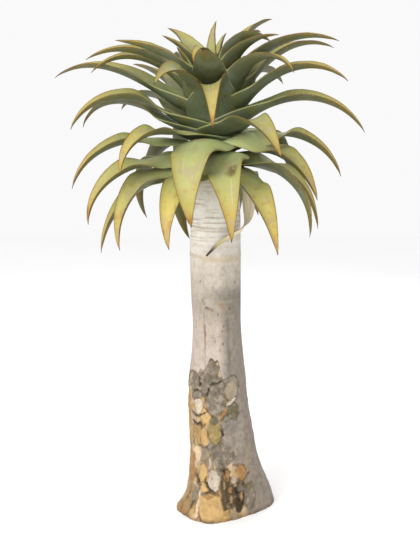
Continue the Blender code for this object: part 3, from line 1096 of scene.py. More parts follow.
# Small round holes: heading, height and radius.
PITS = (
    (3, 0.818, 0.0035), (16, 0.77, 0.0035), (12, 0.752, 0.0025), (-5, 0.713, 0.0032),
    (13, 0.705, 0.0035), (6, 0.682, 0.003), (-24, 0.812, 0.003), (33, 0.838, 0.004),
    (-38, 0.945, 0.0025), (44, 0.7, 0.003), (-60, 0.76, 0.0025), (150, 0.84, 0.0035),
    (170, 0.73, 0.003), (-150, 0.79, 0.0035), (95, 0.8, 0.003), (52, 0.985, 0.003),
    (48, 0.94, 0.003), (20, 1.01, 0.0025), (27, 1.01, 0.0025), (-120, 0.95, 0.003),
)
# Tones of the older bark's plates, each with the share of plates before it.
OLD_BARK = (
    (0.25, Tone.HONEY), (0.45, Tone.ROSE_TAN), (0.55, Tone.GOLD),
    (0.68, Tone.PALE_TAN), (0.82, Tone.SMOOTH_GREY), (0.92, Tone.ROUGH_GREY),
)
# Streaks over the plates: tone, the flow where they start and where they show in full, and strength.
PLATE_STREAKS = ((Tone.CREAM, 0.05, 0.35, 0.6), (Tone.ORANGE, -0.25, -0.50, 0.5))
# The smooth outer bark's tone at each height. It is lighter towards the crown and darker lower down, in part
# its own tone and in part painted light and shade.
OUTER_TONE = np.array((
    (0.00, 0.65, 0.60, 0.54),
    (0.50, 0.68, 0.63, 0.58),
    (0.68, 0.71, 0.66, 0.61),
    (0.80, 0.67, 0.62, 0.57),
    (0.85, 0.62, 0.58, 0.53),
    (0.92, 0.69, 0.65, 0.60),
    (1.00, 0.76, 0.72, 0.67),
    (1.08, 0.82, 0.79, 0.75),
    (1.20, 0.88, 0.86, 0.82),
    (1.30, 0.86, 0.83, 0.76),
    (1.69, 0.86, 0.83, 0.76),
))


@dataclass(frozen=True)
class Grain:
    """A pattern of layered noise in the bark."""

    scale: float | Triple  # how fine it is, or how fine along each axis
    shift: float = 0  # keeps it from lining up with the other patterns
    layers: int = 3

    def over(self, place: Array, noise: LatticeNoise) -> Array:
        """The pattern at places, from -1 to 1."""
        return noise.layered(place * self.scale + self.shift, self.layers)


BROAD = Grain(9)
MIDDLE = Grain(30, 5)
FINE = Grain(95, 9)
STREAK = Grain((45, 45, 7), 3)
BREAKS = Grain(34, 71, 2)
SWAY = Grain(22, 50)
LIFT = Grain(20, 90)
FINE_LIFT = Grain(90, 30, 2)
SCAR_RINGS = Grain((5, 5, 105), 0, 2)
FAINT_RINGS = Grain((6, 6, 70), 4, 2)
PLATE_WARP = (Grain(20, 0, 2), Grain(20, 40, 2), Grain(20, 80, 2))
PLATE_FLOW = Grain((34, 34, 4.5), 7)
PLATE_SCALE = (17, 17, 5.5)


@dataclass
class BarkCanvas:
    """The bark at each corner of the trunk's mesh: how far it stands out, its tone and its speckles.

    A span without a comment holds two heights, headings or values of a pattern: where something starts, and
    where it has come in full.
    """

    heading: Array
    place: Array
    height: Array = field(init=False)
    radius: Array = field(init=False)
    turn: Array = field(init=False)  # the heading, from -180 to 180
    stand: Array = field(init=False)
    tone: Array = field(init=False)
    speckled: Array = field(init=False)
    ringed: Array = field(init=False)
    broad: Array = field(init=False)
    middle: Array = field(init=False)
    fine: Array = field(init=False)
    streak: Array = field(init=False)
    broken: Array = field(init=False)  # how far cracks are open, from 0 to 1
    swayed: Array = field(init=False)
    lifted: Array = field(init=False)
    tone_grain: Span = (0.8, 0.6)  # share of the middle and broad patterns in a tone's grain
    speckles: Span = (0.10, 0.22)  # how speckled the bark is near the crown, and how much more lower down
    speckle_heights: Span = (1.10, 0.95)
    variety: Triple = (0.03, 0.05, 0.04)  # how much the broad, middle and fine patterns vary the tones
    shade_turns: tuple[Span, Span] = ((2, 22), (150, 120))  # where the painted shade on the right side begins and ends
    shade_heights: Span = (0.96, 0.80)
    shade: Span = (0.07, 0.16)  # how deep that painted shade is, and how much deeper low down
    shade_band: Span = (0.895, 0.028)  # height and half height of a band of painted shade
    shade_band_turns: Span = (-35, -10)
    shade_band_depth: float = 0.12
    shade_band_waver: float = 0.012
    ring_heights: Span = (1.06, 1.14)
    low_ring_heights: Span = (0.70, 0.85)
    low_rings: float = 0.07
    ring_share: Span = (0.55, 0.45)  # least share of the rings, and how much more shows in places
    ring_places: Span = (-0.25, 0.25)
    ring_relief: float = 0.0008
    faint_ring_heights: Span = (0.66, 0.76)
    faint_rings: float = 0.22
    faint_ring_width: float = 1 / 6
    collar: Span = (1.035, 0.009)  # height and half height of the pale collar under the rings
    collar_waver: Span = (14, 0.012)  # how often, and how far
    collar_slant: float = 0.006
    collar_tone: Span = (0.6, 0.4)  # how much of it shows, and how far that varies
    collar_relief: float = 0.0012
    flank_start: Span = (14, 19)  # heading where the grey flank begins, and how much later below its step
    flank_step: Span = (0.25, 0.19)
    flank_end: Span = (134, 118)
    flank_heights: Span = (0.95, 0.50)
    flank_waver: Span = (10, 4)  # degrees by which the broad and middle patterns shift its start
    flank_soft: float = 8  # degrees over which it comes in
    flank_tone: Span = (0.9, 0.2)  # how much of it shows, and how far that varies
    flank_variety: float = 0.04
    breaks: Span = (0.45, 1.6)  # the usual share of a crack that is open, and how much that varies
    sway: Span = (0.011, 0.003)  # how far broad and fine patterns push things sideways
    lift: Span = (0.013, 0.004)  # and upwards
    peel_step: float = 0.004  # height over which the peel's edge turns from one bark to the other
    peel_thickness: float = 0.0025
    peel_fade: float = 0.10  # how far above its edge the peel lies flat again
    peel_waver: Span = (0.9, 0.006)  # share of the lift, and reach of the fine pattern, in its edge
    peel_rim: Span = (-0.002, 0.005)  # height of the crack under it, from its edge, and half height
    peel_rim_tone: Span = (0.25, 0.7)  # how dark that is where it is closed, and how much more so open
    plate_warp: float = 0.6
    plate_crack: Span = (0.07, 0.6)  # width of the cracks between plates, and how dark they are
    plate_soft: float = 0.10  # how softly one plate's tone turns into another's
    plate_drift: Span = (0.22, 0.12)  # how far streaks and the middle pattern shift the plates' tones
    plate_relief: Triple = (0.005, 0.003, 0.0025)  # from plate to plate, along the streaks, and in cracks
    plate_depth: float = 0.002  # how far the older bark lies below the peel
    patch_ragged: Span = (0.5, 0.35)  # share of the middle and fine patterns in a patch's outline
    patch_reach: float = 95  # degrees round the trunk at which a patch ends in any case
    patch_span: Span = (1.22, 0.98)  # as shares of its half width and half height
    patch_rim: Triple = (1.16, 0.11, 0.85)  # where the crack round it lies, half width and darkness
    patch_variety: float = 0.11
    groove: float = 0.002  # how deep the cracks round patches, and pits, are
    crack_span: Span = (1.7, 0.3)  # as shares of its half width
    crack_waver: float = 0.8  # share of the middle pattern in how it wavers
    crack_share: Span = (0.35, 0.65)  # how much shows where it is closed, and how much more where open
    pit_span: Span = (1.5, 0.5)  # as shares of its radius
    pit_tone: float = 0.7

    def __post_init__(self) -> None:
        """Start flat, in the outer bark's tones."""
        self.height = self.place[:, 2]
        self.radius = trunk_radius(self.height)
        self.turn = turn_between(self.heading, 0)
        self.stand = np.zeros_like(self.height)
        self.ringed = np.zeros_like(self.height)
        self.speckled = self.speckles[0] + self.speckles[1] * ease(self.height, *self.speckle_heights)
        self.tone = np.stack([curve_at(self.height, OUTER_TONE, column) for column in (1, 2, 3)], -1)
        noise = LatticeNoise(Seed.BARK)
        self.broad = BROAD.over(self.place, noise)
        self.middle = MIDDLE.over(self.place, noise)
        self.fine = FINE.over(self.place, noise)
        self.streak = STREAK.over(self.place, noise)
        usual, varying = self.breaks
        self.broken = smooth(usual + varying * BREAKS.over(self.place, noise))
        broad, fine = self.sway
        self.swayed = broad * SWAY.over(self.place, noise) + fine * self.fine
        broad, fine = self.lift
        self.lifted = broad * LIFT.over(self.place, noise) + fine * FINE_LIFT.over(self.place, noise)
        self.shade_tones()

    def shade_tones(self) -> None:
        """Vary the outer bark's tones: clouds, painted shade on the right side and a band of painted shade.
        """
        broad, middle, fine = self.variety
        self.tone *= (1 + broad * self.broad + middle * self.middle + fine * self.fine)[:, None]
        # painted shade on the right side, deeper low down
        begins, ends = self.shade_turns
        shaded = ease(self.turn, *begins) * ease(self.turn, *ends)
        low = ease(self.height, *self.shade_heights)
        self.tone *= (1 - shaded * (self.shade[0] + self.shade[1] * low))[:, None]
        # a band of painted shade part way up the front and right of the trunk
        level, half_height = self.shade_band
        band = bell(self.height - level - self.shade_band_waver * self.broad, half_height)
        self.tone *= (1 - self.shade_band_depth * band * ease(self.turn, *self.shade_band_turns))[:, None]

    def arc(self, heading: float | Array) -> Array:
        """How far round the bark each corner lies from a heading, in metres."""
        return np.radians(turn_between(self.heading, heading)) * self.radius

    def lay(self, share: Array, tone: Tone, variety: float = 0.07) -> None:
        """Lay a tone over the bark.

        Args:
            share: How much of it at each corner, from 0 to 1.
            tone: The tone.
            variety: How much grain and streaks vary it.
        """
        *colour, speckled = tone.value
        middle, broad = self.tone_grain
        grain = 1 + variety * (self.fine + self.streak + middle * self.middle + broad * self.broad)
        share = np.clip(share, 0, 1)
        self.tone += (np.array(colour) * grain[:, None] - self.tone) * share[:, None]
        self.speckled += (speckled - self.speckled) * share

    def add_rings(self) -> None:
        """The fine rings of old leaf scars under the crown, and the pale collar and faint rings below."""
        noise = LatticeNoise(Seed.RINGS)
        near_crown = ease(self.height, *self.ring_heights)
        least, more = self.ring_share
        self.ringed = near_crown * (least + more * ease(self.broad, *self.ring_places))
        self.ringed += self.low_rings * (1 - near_crown) * ease(self.height, *self.low_ring_heights)
        self.stand += self.ring_relief * near_crown * SCAR_RINGS.over(self.place, noise)
        lines = np.clip(1 - np.abs(FAINT_RINGS.over(self.place, noise)) / self.faint_ring_width, 0, 1)
        self.lay(lines * self.faint_rings * ease(self.height, *self.faint_ring_heights), Tone.RING)
        level, half_height = self.collar
        often, far = self.collar_waver
        level = level + far * noise.at(self.place * often)
        level -= self.collar_slant * np.sin(np.radians(self.heading))
        collar = bell(self.height - level, half_height)
        usual, varying = self.collar_tone
        self.lay(collar * (usual + varying * self.middle), Tone.RING)
        self.stand += self.collar_relief * collar

    def add_old_bark(self) -> None:
        """The older bark under the peel: its upright plates, and the smooth grey flank at the right."""
        lifted, fine = self.peel_waver
        limit = curve_at(self.turn, PEEL_EDGE) + lifted * self.lifted + fine * self.fine
        below = smooth((limit - self.height) / self.peel_step)
        self.add_plates(below)
        flat = smooth((self.height - limit) / self.peel_fade)
        self.stand += self.peel_thickness * (1 - below) * (1 - flat)
        first, later = self.flank_start
        broad, middle = self.flank_waver
        start = first + later * ease(self.height, *self.flank_step)
        start = start + broad * self.broad + middle * self.middle
        flank = smooth((self.turn - start) / self.flank_soft) * ease(self.turn, *self.flank_end)
        level, half_height = self.peel_rim
        rim = bell(self.height - limit - level, half_height) * (1 - flank)
        closed, more = self.peel_rim_tone
        self.lay(rim * (closed + more * self.broken), Tone.CRACK)
        self.stand -= self.groove * rim
        usual, varying = self.flank_tone
        share = flank * ease(self.height, *self.flank_heights) * (usual + varying * self.streak)
        self.lay(share, Tone.SMOOTH_GREY, self.flank_variety)

    def add_plates(self, below: Array) -> None:
        """The upright plates of the older bark, with streaks over them and cracks between them.

        Args:
            below: How far each corner lies in the older bark, from 0 to 1.
        """
        noise = LatticeNoise(Seed.PLATES)
        warp = np.stack([grain.over(self.place, noise) for grain in PLATE_WARP], -1)
        edge, mark = noise.cells(self.place * PLATE_SCALE + self.plate_warp * warp)
        width, dark = self.plate_crack
        crack = (1 - smooth(edge / width)) * self.broken
        streaked, clouded = self.plate_drift
        drift = mark + streaked * self.streak + clouded * self.middle
        self.lay(below, Tone.GOLD)
        for low, tone in OLD_BARK:
            self.lay(below * smooth((drift - low) / self.plate_soft), tone)
        flow = PLATE_FLOW.over(self.place, noise)
        for tone, low, high, strength in PLATE_STREAKS:
            self.lay(below * ease(flow, low, high) * strength, tone)
        plates, streaks, cracks = self.plate_relief
        relief = plates * (mark - 0.5) + streaks * flow - cracks * crack - self.plate_depth
        self.stand += below * relief
        self.lay(below * crack * dark, Tone.KNOT)

    def add_patch(self, patch: BarkPatch) -> None:
        """Add a flake, plate or stain.

        Args:
            patch: The flake, plate or stain.
        """
        across, up = self.arc(patch.heading) + self.swayed, self.height - patch.height + self.lifted
        cos, sin = math.cos(math.radians(patch.lean)), math.sin(math.radians(patch.lean))
        across, up = across * cos - up * sin, up * cos + across * sin
        reach = np.hypot(across / patch.half_width, up / patch.half_height)
        middle, fine = self.patch_ragged
        reach = reach + patch.ragged * (middle * self.middle + fine * self.fine)
        front = np.abs(turn_between(self.heading, patch.heading)) < self.patch_reach
        inside = ease(reach, *self.patch_span) * front
        self.lay(inside, patch.tone, self.patch_variety)
        self.stand += inside * patch.relief
        at_rim, half_width, dark = self.patch_rim
        rim = bell(reach - at_rim, half_width) * front * patch.rim * self.broken
        self.lay(rim * dark, Tone.KNOT)
        self.stand -= self.groove * rim

    def add_crack(self, crack: BarkCrack) -> None:
        """Add a crack or groove.

        Args:
            crack: The crack or groove.
        """
        route = np.array(crack.route)
        nearest = np.full_like(self.height, FAR)
        for start, end in zip(route[:-1], route[1:]):
            run = np.array([np.radians(end[0] - start[0]) * trunk_radius(start[1]), end[1] - start[1]])
            away = np.stack([self.arc(start[0]), self.height - start[1]], -1)
            part = np.clip(away @ run / (run @ run), 0, 1)
            nearest = np.minimum(nearest, np.linalg.norm(away - part[:, None] * run, axis=-1))
        nearest = nearest + crack.waver * (self.fine + self.crack_waver * self.middle)
        far, near = self.crack_span
        share = ease(nearest, far * crack.half_width, near * crack.half_width)
        closed, more = self.crack_share
        share = share * (closed + more * self.broken)
        self.lay(share * crack.darkness, crack.tone)
        self.stand -= share * crack.depth

    def add_pit(self, heading: float, height: float, radius: float) -> None:
        """Add a small round hole.

        Args:
            heading: Its heading.
            height: Its height.
            radius: Its radius.
        """
        away = np.hypot(self.arc(heading), self.height - height)
        far, near = self.pit_span
        share = ease(away, far * radius, near * radius)
        self.lay(share * self.pit_tone, Tone.KNOT)
        self.stand -= self.groove * share


@dataclass
class Trunk:
    """The trunk from the flat cut at the ground to the growing tip inside the crown."""

    around: int = 260
    # Heights where the rings' spacing changes, each with the spacing above it.
    ring_steps: tuple[Span, ...] = ((0, 0.0033), (0.66, 0.0062), (1.33, 0.012))
    bark_top: float = 1.335  # above it, the trunk has the tone of the clasping leaf bases
    bark_fade: float = 0.02  # height over which it turns into that
    foot_darkening: Span = (0.6, 0.022)  # how dark the very foot is, and the height where that has faded
    foot_darkening_share: Span = (0.4, 0.6)  # how much of it shows where cracks are closed, and how much more open
    rough_heights: Span = (0.75, 0.45)
    roughness: Span = (0.0022, 0.0012)  # relief of the middle and fine patterns where the bark is rough
    fine_relief: float = 0.0005
    tip_height: float = 0.05  # over this height at the top, the relief fades
    skin: BarkSkin = field(default_factory=BarkSkin)

    def heights(self) -> Array:
        """Choose the rings' heights, close together where the bark is rough.

        Returns:
            The heights, from the ground up.
        """
        tip = TRUNK_FORM[-1, 0]
        ends = [start for start, _ in self.ring_steps[1:]] + [tip]
        runs = [np.arange(start, end, step) for (start, step), end in zip(self.ring_steps, ends)]
        return np.concatenate([*runs, [tip]])

    def foot_lobes(self, heading: Array, height: Array) -> Array:
        """How far the root flare stands out.

        Args:
            heading: Headings in degrees.
            height: Heights.

        Returns:
            A distance for each pair.
        """
        total = np.zeros_like(heading)
        for centre, stands_out, half_width, top in FOOT_LOBES:
            fade = (1 - smooth(height / top)) ** 2
            total += stands_out * (1 - smooth(np.abs(turn_between(heading, centre)) / half_width)) * fade
        return total

    def build(self) -> bpy.types.Object:
        """Build the trunk.

        Returns:
            The trunk, dressed.
        """
        levels = self.heights()
        height, turn = np.meshgrid(levels, np.arange(self.around) * FULL_TURN / self.around, indexing="ij")
        height, turn = height.ravel(), turn.ravel()
        out = facing(np.radians(turn))
        reach = trunk_radius(height) + self.foot_lobes(turn, height)
        place = trunk_axis(height) + reach[:, None] * out
        canvas = self.painted(turn, place)
        place = place + canvas.stand[:, None] * out
        place[:, 2] = np.maximum(place[:, 2], 0)
        tone = linear(np.clip(canvas.tone, 0, 1))
        mesh = MeshBuilder()
        marks = {"tone": tone, "speckled": canvas.speckled, "ringed": canvas.ringed}
        mesh.add(place, tube_faces(len(levels), self.around), marks)
        for ring, order in ((0, -1), (len(levels) - 1, 1)):
            rim = np.arange(self.around) + ring * self.around
            corners = np.concatenate([place[rim], trunk_axis(levels[ring])[None]])
            ends = {name: np.concatenate([rows[rim], rows[rim[:1]]]) for name, rows in marks.items()}
            mesh.add(corners, cap_faces(self.around, order), ends)
        return mesh.make("trunk_bark", self.skin.material(), 80)

    def painted(self, turn: Array, place: Array) -> BarkCanvas:
        """Paint and carve the bark.

        Args:
            turn: The corners' headings in degrees.
            place: The corners on the smooth trunk.

        Returns:
            The canvas with all of the bark on it.
        """
        canvas = BarkCanvas(turn, place)
        canvas.add_rings()
        canvas.add_old_bark()
        for patch in BARK_PATCHES:
            canvas.add_patch(patch)
        for crack in BARK_CRACKS:
            canvas.add_crack(crack)
        for heading, level, radius in PITS:
            canvas.add_pit(heading, level, radius)
        height = canvas.height
        # the trunk is darker towards its very foot, more so where cracks are open
        foot_dark, top = self.foot_darkening
        closed, more = self.foot_darkening_share
        canvas.lay(foot_dark * (1 - smooth(height / top)) * (closed + more * canvas.broken), Tone.KNOT)
        canvas.lay(smooth((height - self.bark_top) / self.bark_fade), Tone.SHEATH)
        middle, fine = self.roughness
        canvas.stand += ease(height, *self.rough_heights) * (middle * canvas.middle + fine * canvas.fine)
        canvas.stand += self.fine_relief * canvas.fine
        canvas.stand *= smooth((TRUNK_FORM[-1, 0] - height) / self.tip_height)
        return canvas


# ---------------------------------------------------------------- leaves
LEAF_WIDTH = 0.14
LEAF_THICKNESS = 0.0135  # at the keel of its base
THINNING = 0.72  # share of its thickness that a leaf loses by its tip
THINNING_BEND = 1.3
MARGIN_SHARE = 0.25  # thickness at a leaf's margins, as a share of that at its keel
SEAT_GAP = 0.0006  # between the trunk and the start of a leaf's middle line
PATH_STEPS = 180
# Share of a leaf's length, and its width there as a share of its full width.
BLADE_FORM = np.array((
    (0.0, 1.15), (0.2, 1.15), (0.3, 1.08), (0.4, 0.98), (0.5, 0.84), (0.6, 0.68), (0.7, 0.51), (0.8, 0.335),
    (0.9, 0.17), (1.0, 0.03),
))
# Share of a leaf's length, and how far its margins curl up there: half of the arc, in degrees.
CHANNEL_FORM = np.array(((0.0, 2), (0.1, 10), (0.22, 28), (0.35, 40), (0.6, 49), (0.85, 52), (1.0, 52)))
ROLL_LENGTH = 0.5  # share of its length over which a leaf rolls to one side


@dataclass(frozen=True)
class LeafHabit:
    """How one leaf grows: angles in degrees, lengths in metres."""

    name: str
    heading: float
    seat: float  # height of its seat on the trunk
    rise: float  # slope at the seat
    droop: float  # how far that slope turns down by the tip
    length: float
    width: float  # as a share of LEAF_WIDTH
    roll: float  # sideways roll, which turns its upper face to one side
    bend: float  # above 1, the leaf bends more towards its tip
    gold_and_light: float = 0.2  # how yellow its upper face is, from 0 to 1; in part painted light and shade too, raised to light some lower leaves and lowered on leaves in shadow
    drape: float = 0.0  # how far its margins hang down near its base
    spread: float = 1.0  # how much wider its base is than usual
    lift: float = 0.0  # how far it swells upwards near its base

    @property
    def seed(self) -> int:
        """A number of its own, for its noise."""
        return sum(map(ord, self.name))


# The leaves from the oldest, at the foot of the crown, to the youngest at its heart.
LEAVES = (
    LeafHabit("leaf_01", -29, 1.362, 7, 119, 0.45, 0.90, -7, 1.3, 0.98, 0.034),
    LeafHabit("leaf_02", 169, 1.362, 2, 111, 0.49, 1.05, 7, 0.8, 0.20, 0.034),
    LeafHabit("leaf_03", -154, 1.370, 17, 167, 0.52, 1.00, -9, 1.1, 0.24, 0.034),
    LeafHabit("leaf_04", -77, 1.374, -8, 76, 0.52, 1.00, -6, 1.3, 0.50, 0.034),
    LeafHabit("leaf_05", 23, 1.376, -6, 60, 0.53, 1.00, -6, 1.4, 0.86, 0.034, 1.15, 0.016),
    LeafHabit("leaf_06", -129, 1.382, 26, 154, 0.52, 1.00, -6, 1.3, 0.24, 0.034),
    LeafHabit("leaf_07", 157, 1.384, -6, 53, 0.49, 1.00, -1, 1.0, 0.24, 0.034),
    LeafHabit("leaf_08", 52, 1.386, 8, 106, 0.49, 1.00, -25, 1.4, 0.04, 0.034),
    LeafHabit("leaf_09", -62, 1.396, 3, 105, 0.52, 0.95, -14, 1.2, 0.62, 0.044, 1.10),
    LeafHabit("leaf_10", 7, 1.406, 12, 109, 0.50, 1.15, 29, 1.2, 0.36, 0.060, 1.2, 0.022),
    LeafHabit("leaf_11", -67, 1.416, -2, 90, 0.54, 1.05, -9, 2.2, 0.44, 0.054, 1.25, 0.016),
    LeafHabit("leaf_12", 168, 1.420, 4, 109, 0.49, 1.00, -2, 1.3, 0.20, 0.034),
    LeafHabit("leaf_13", 93, 1.424, -7, 78, 0.47, 0.95, 16, 1.2, 0.40, 0.048, 1.30, 0.018),
    LeafHabit("leaf_14", -16, 1.426, 52, 175, 0.49, 1.30, 5, 0.8, 0.34, 0.068, 1.2, 0.018),
    LeafHabit("leaf_15", 180, 1.434, 17, 113, 0.51, 0.95, -5, 1.1, 0.20, 0.034),
    LeafHabit("leaf_16", -140, 1.446, 14, 98, 0.48, 0.95, 1, 1.4, 0.20, 0.034),
    LeafHabit("leaf_17", 58, 1.450, 9, 80, 0.43, 1.10, 4, 1.2, 0.36, 0.056, 1.5, 0.048),
    LeafHabit("leaf_18", 127, 1.452, 7, 92, 0.51, 1.00, 0, 1.4, 0.20, 0.034),
    LeafHabit("leaf_19", -78, 1.454, 12, 87, 0.54, 1.00, -8, 1.8, 0.24, 0.045, 1.30, 0.008),
    LeafHabit("leaf_20", 78, 1.462, 24, 94, 0.47, 1.05, 5, 1.3, 0.32, 0.078, 1.5, 0.020),
    LeafHabit("leaf_21", -47, 1.470, 16, 109, 0.45, 1.00, -4, 2.3, 0.56, 0.034, 1.2, 0.018),
    LeafHabit("leaf_22", -176, 1.474, 22, 110, 0.52, 1.00, 1, 1.1, 0.20, 0.033),
    LeafHabit("leaf_23", 135, 1.484, 25, 96, 0.49, 1.00, 2, 0.9, 0.20, 0.027),
    LeafHabit("leaf_24", 23, 1.488, 31, 79, 0.51, 1.00, 4, 1.1, 0.28, 0.020),
    LeafHabit("leaf_25", -99, 1.488, 32, 108, 0.51, 1.00, -6, 2.6, 0.20, 0.034),
    LeafHabit("leaf_26", -77, 1.500, 40, 106, 0.54, 1.15, -9, 1.7, 0.20, 0.034),
    LeafHabit("leaf_27", -160, 1.508, 33, 106, 0.52, 1.00, 1, 0.8, 0.20, 0.018),
    LeafHabit("leaf_28", 81, 1.510, 43, 102, 0.56, 1.00, 10, 1.3, 0.28, 0.006, 1.30),
    LeafHabit("leaf_29", -1, 1.520, 79, 175, 0.47, 0.90, 19, 1.2, 0.44, 0.000, 1.55),
    LeafHabit("leaf_30", 164, 1.520, 40, 110, 0.53, 1.00, -3, 1.3, 0.20, 0.030),
    LeafHabit("leaf_31", -130, 1.520, 35, 82, 0.47, 1.00, 0, 2.0, 0.20, 0.030),
    LeafHabit("leaf_32", 145, 1.538, 61, 98, 0.53, 1.00, 0, 1.3, 0.20, 0.016),
    LeafHabit("leaf_33", -141, 1.548, 37, 31, 0.52, 0.95, 14, 1.6, 0.00, 0.020),
    LeafHabit("leaf_34", 70, 1.552, 49, 92, 0.51, 1.00, 9, 1.8, 0.20, 0.008),
    LeafHabit("leaf_35", -98, 1.558, 34, 71, 0.60, 1.00, -9, 2.6, 0.20, 0.004),
    LeafHabit("leaf_36", 50, 1.572, 74, 132, 0.42, 0.82, -2, 1.6, 0.36, 0.000, 1.3),
    LeafHabit("leaf_37", -171, 1.572, 54, 110, 0.49, 1.05, -3, 1.5),
    LeafHabit("leaf_38", -27, 1.578, 43, 98, 0.43, 0.78, -35, 2.2, 0.06, 0.000, 1.6),
    LeafHabit("leaf_39", 106, 1.584, 54, 77, 0.52, 0.95, 2, 2.0),
    LeafHabit("leaf_40", -91, 1.600, 57, 103, 0.48, 0.90, -16, 1.5),
    LeafHabit("leaf_41", 162, 1.608, 64, 106, 0.47, 1.00, -7, 1.1),
    LeafHabit("leaf_42", -4, 1.624, 31, 35, 0.48, 0.85, -10, 1.6, 0.20, 0.000, 1.1),
    LeafHabit("leaf_43", -156, 1.624, 60, 109, 0.46, 0.95, -1, 1.4),
    LeafHabit("leaf_44", -81, 1.626, 49, 82, 0.48, 0.95, -10, 1.6),
    LeafHabit("leaf_45", 147, 1.628, 59, 71, 0.43, 0.70, 1, 2.6),
    LeafHabit("leaf_46", 73, 1.630, 55, 77, 0.50, 1.00, 8, 1.5),
    LeafHabit("leaf_47", -68, 1.640, 58, 55, 0.39, 1.00, -15, 0.9),
    LeafHabit("leaf_48", 137, 1.642, 68, 59, 0.44, 0.90, -17, 1.4),
    LeafHabit("leaf_49", 55, 1.646, 73, 80, 0.34, 0.80, 6, 1.3),
    LeafHabit("leaf_50", -130, 1.648, 55, 10, 0.22, 0.60, -5, 1.0),
    LeafHabit("leaf_51", 103, 1.652, 90, 130, 0.33, 0.72, -30, 1.7),
    LeafHabit("leaf_52", -66, 1.660, 77, 59, 0.26, 0.60, -28, 1.0),
    LeafHabit("leaf_53", -144, 1.660, 64, 50, 0.37, 0.80, 0, 1.2),
    LeafHabit("leaf_54", 163, 1.664, 86, 70, 0.28, 0.35, -36, 1.1),
    LeafHabit("leaf_55", -31, 1.676, 86, 208, 0.235, 0.46, -13, 2.2, 0.28),
    LeafHabit("leaf_56", 109, 1.676, 87, 38, 0.18, 0.35, 21, 1.4),
    LeafHabit("leaf_57", 161, 1.682, 100, 69, 0.24, 0.35, -15, 2.6),
)


@dataclass(frozen=True)
class Bruise:
    """A brown stain on a leaf's upper face."""

    leaf: str
    along: float  # share of the leaf's length
    across: float  # from -1 at one margin to 1 at the other
    half_length: float
    half_width: float


BRUISES = (
    Bruise("leaf_10", 0.48, 0.28, 0.062, 0.34),
)
BRUISE_SPAN = (1.2, 0.6)  # where a bruise starts and where it shows in full, from its middle at 0
LOT_SPREAD = 20  # how far apart leaves' streaks are read at most, so that no two look alike
# Four sides of a tooth, each from two corners of its root to its tip.
TOOTH_SIDES = np.array(((0, 1, 4), (1, 2, 4), (2, 3, 4), (3, 0, 4)))


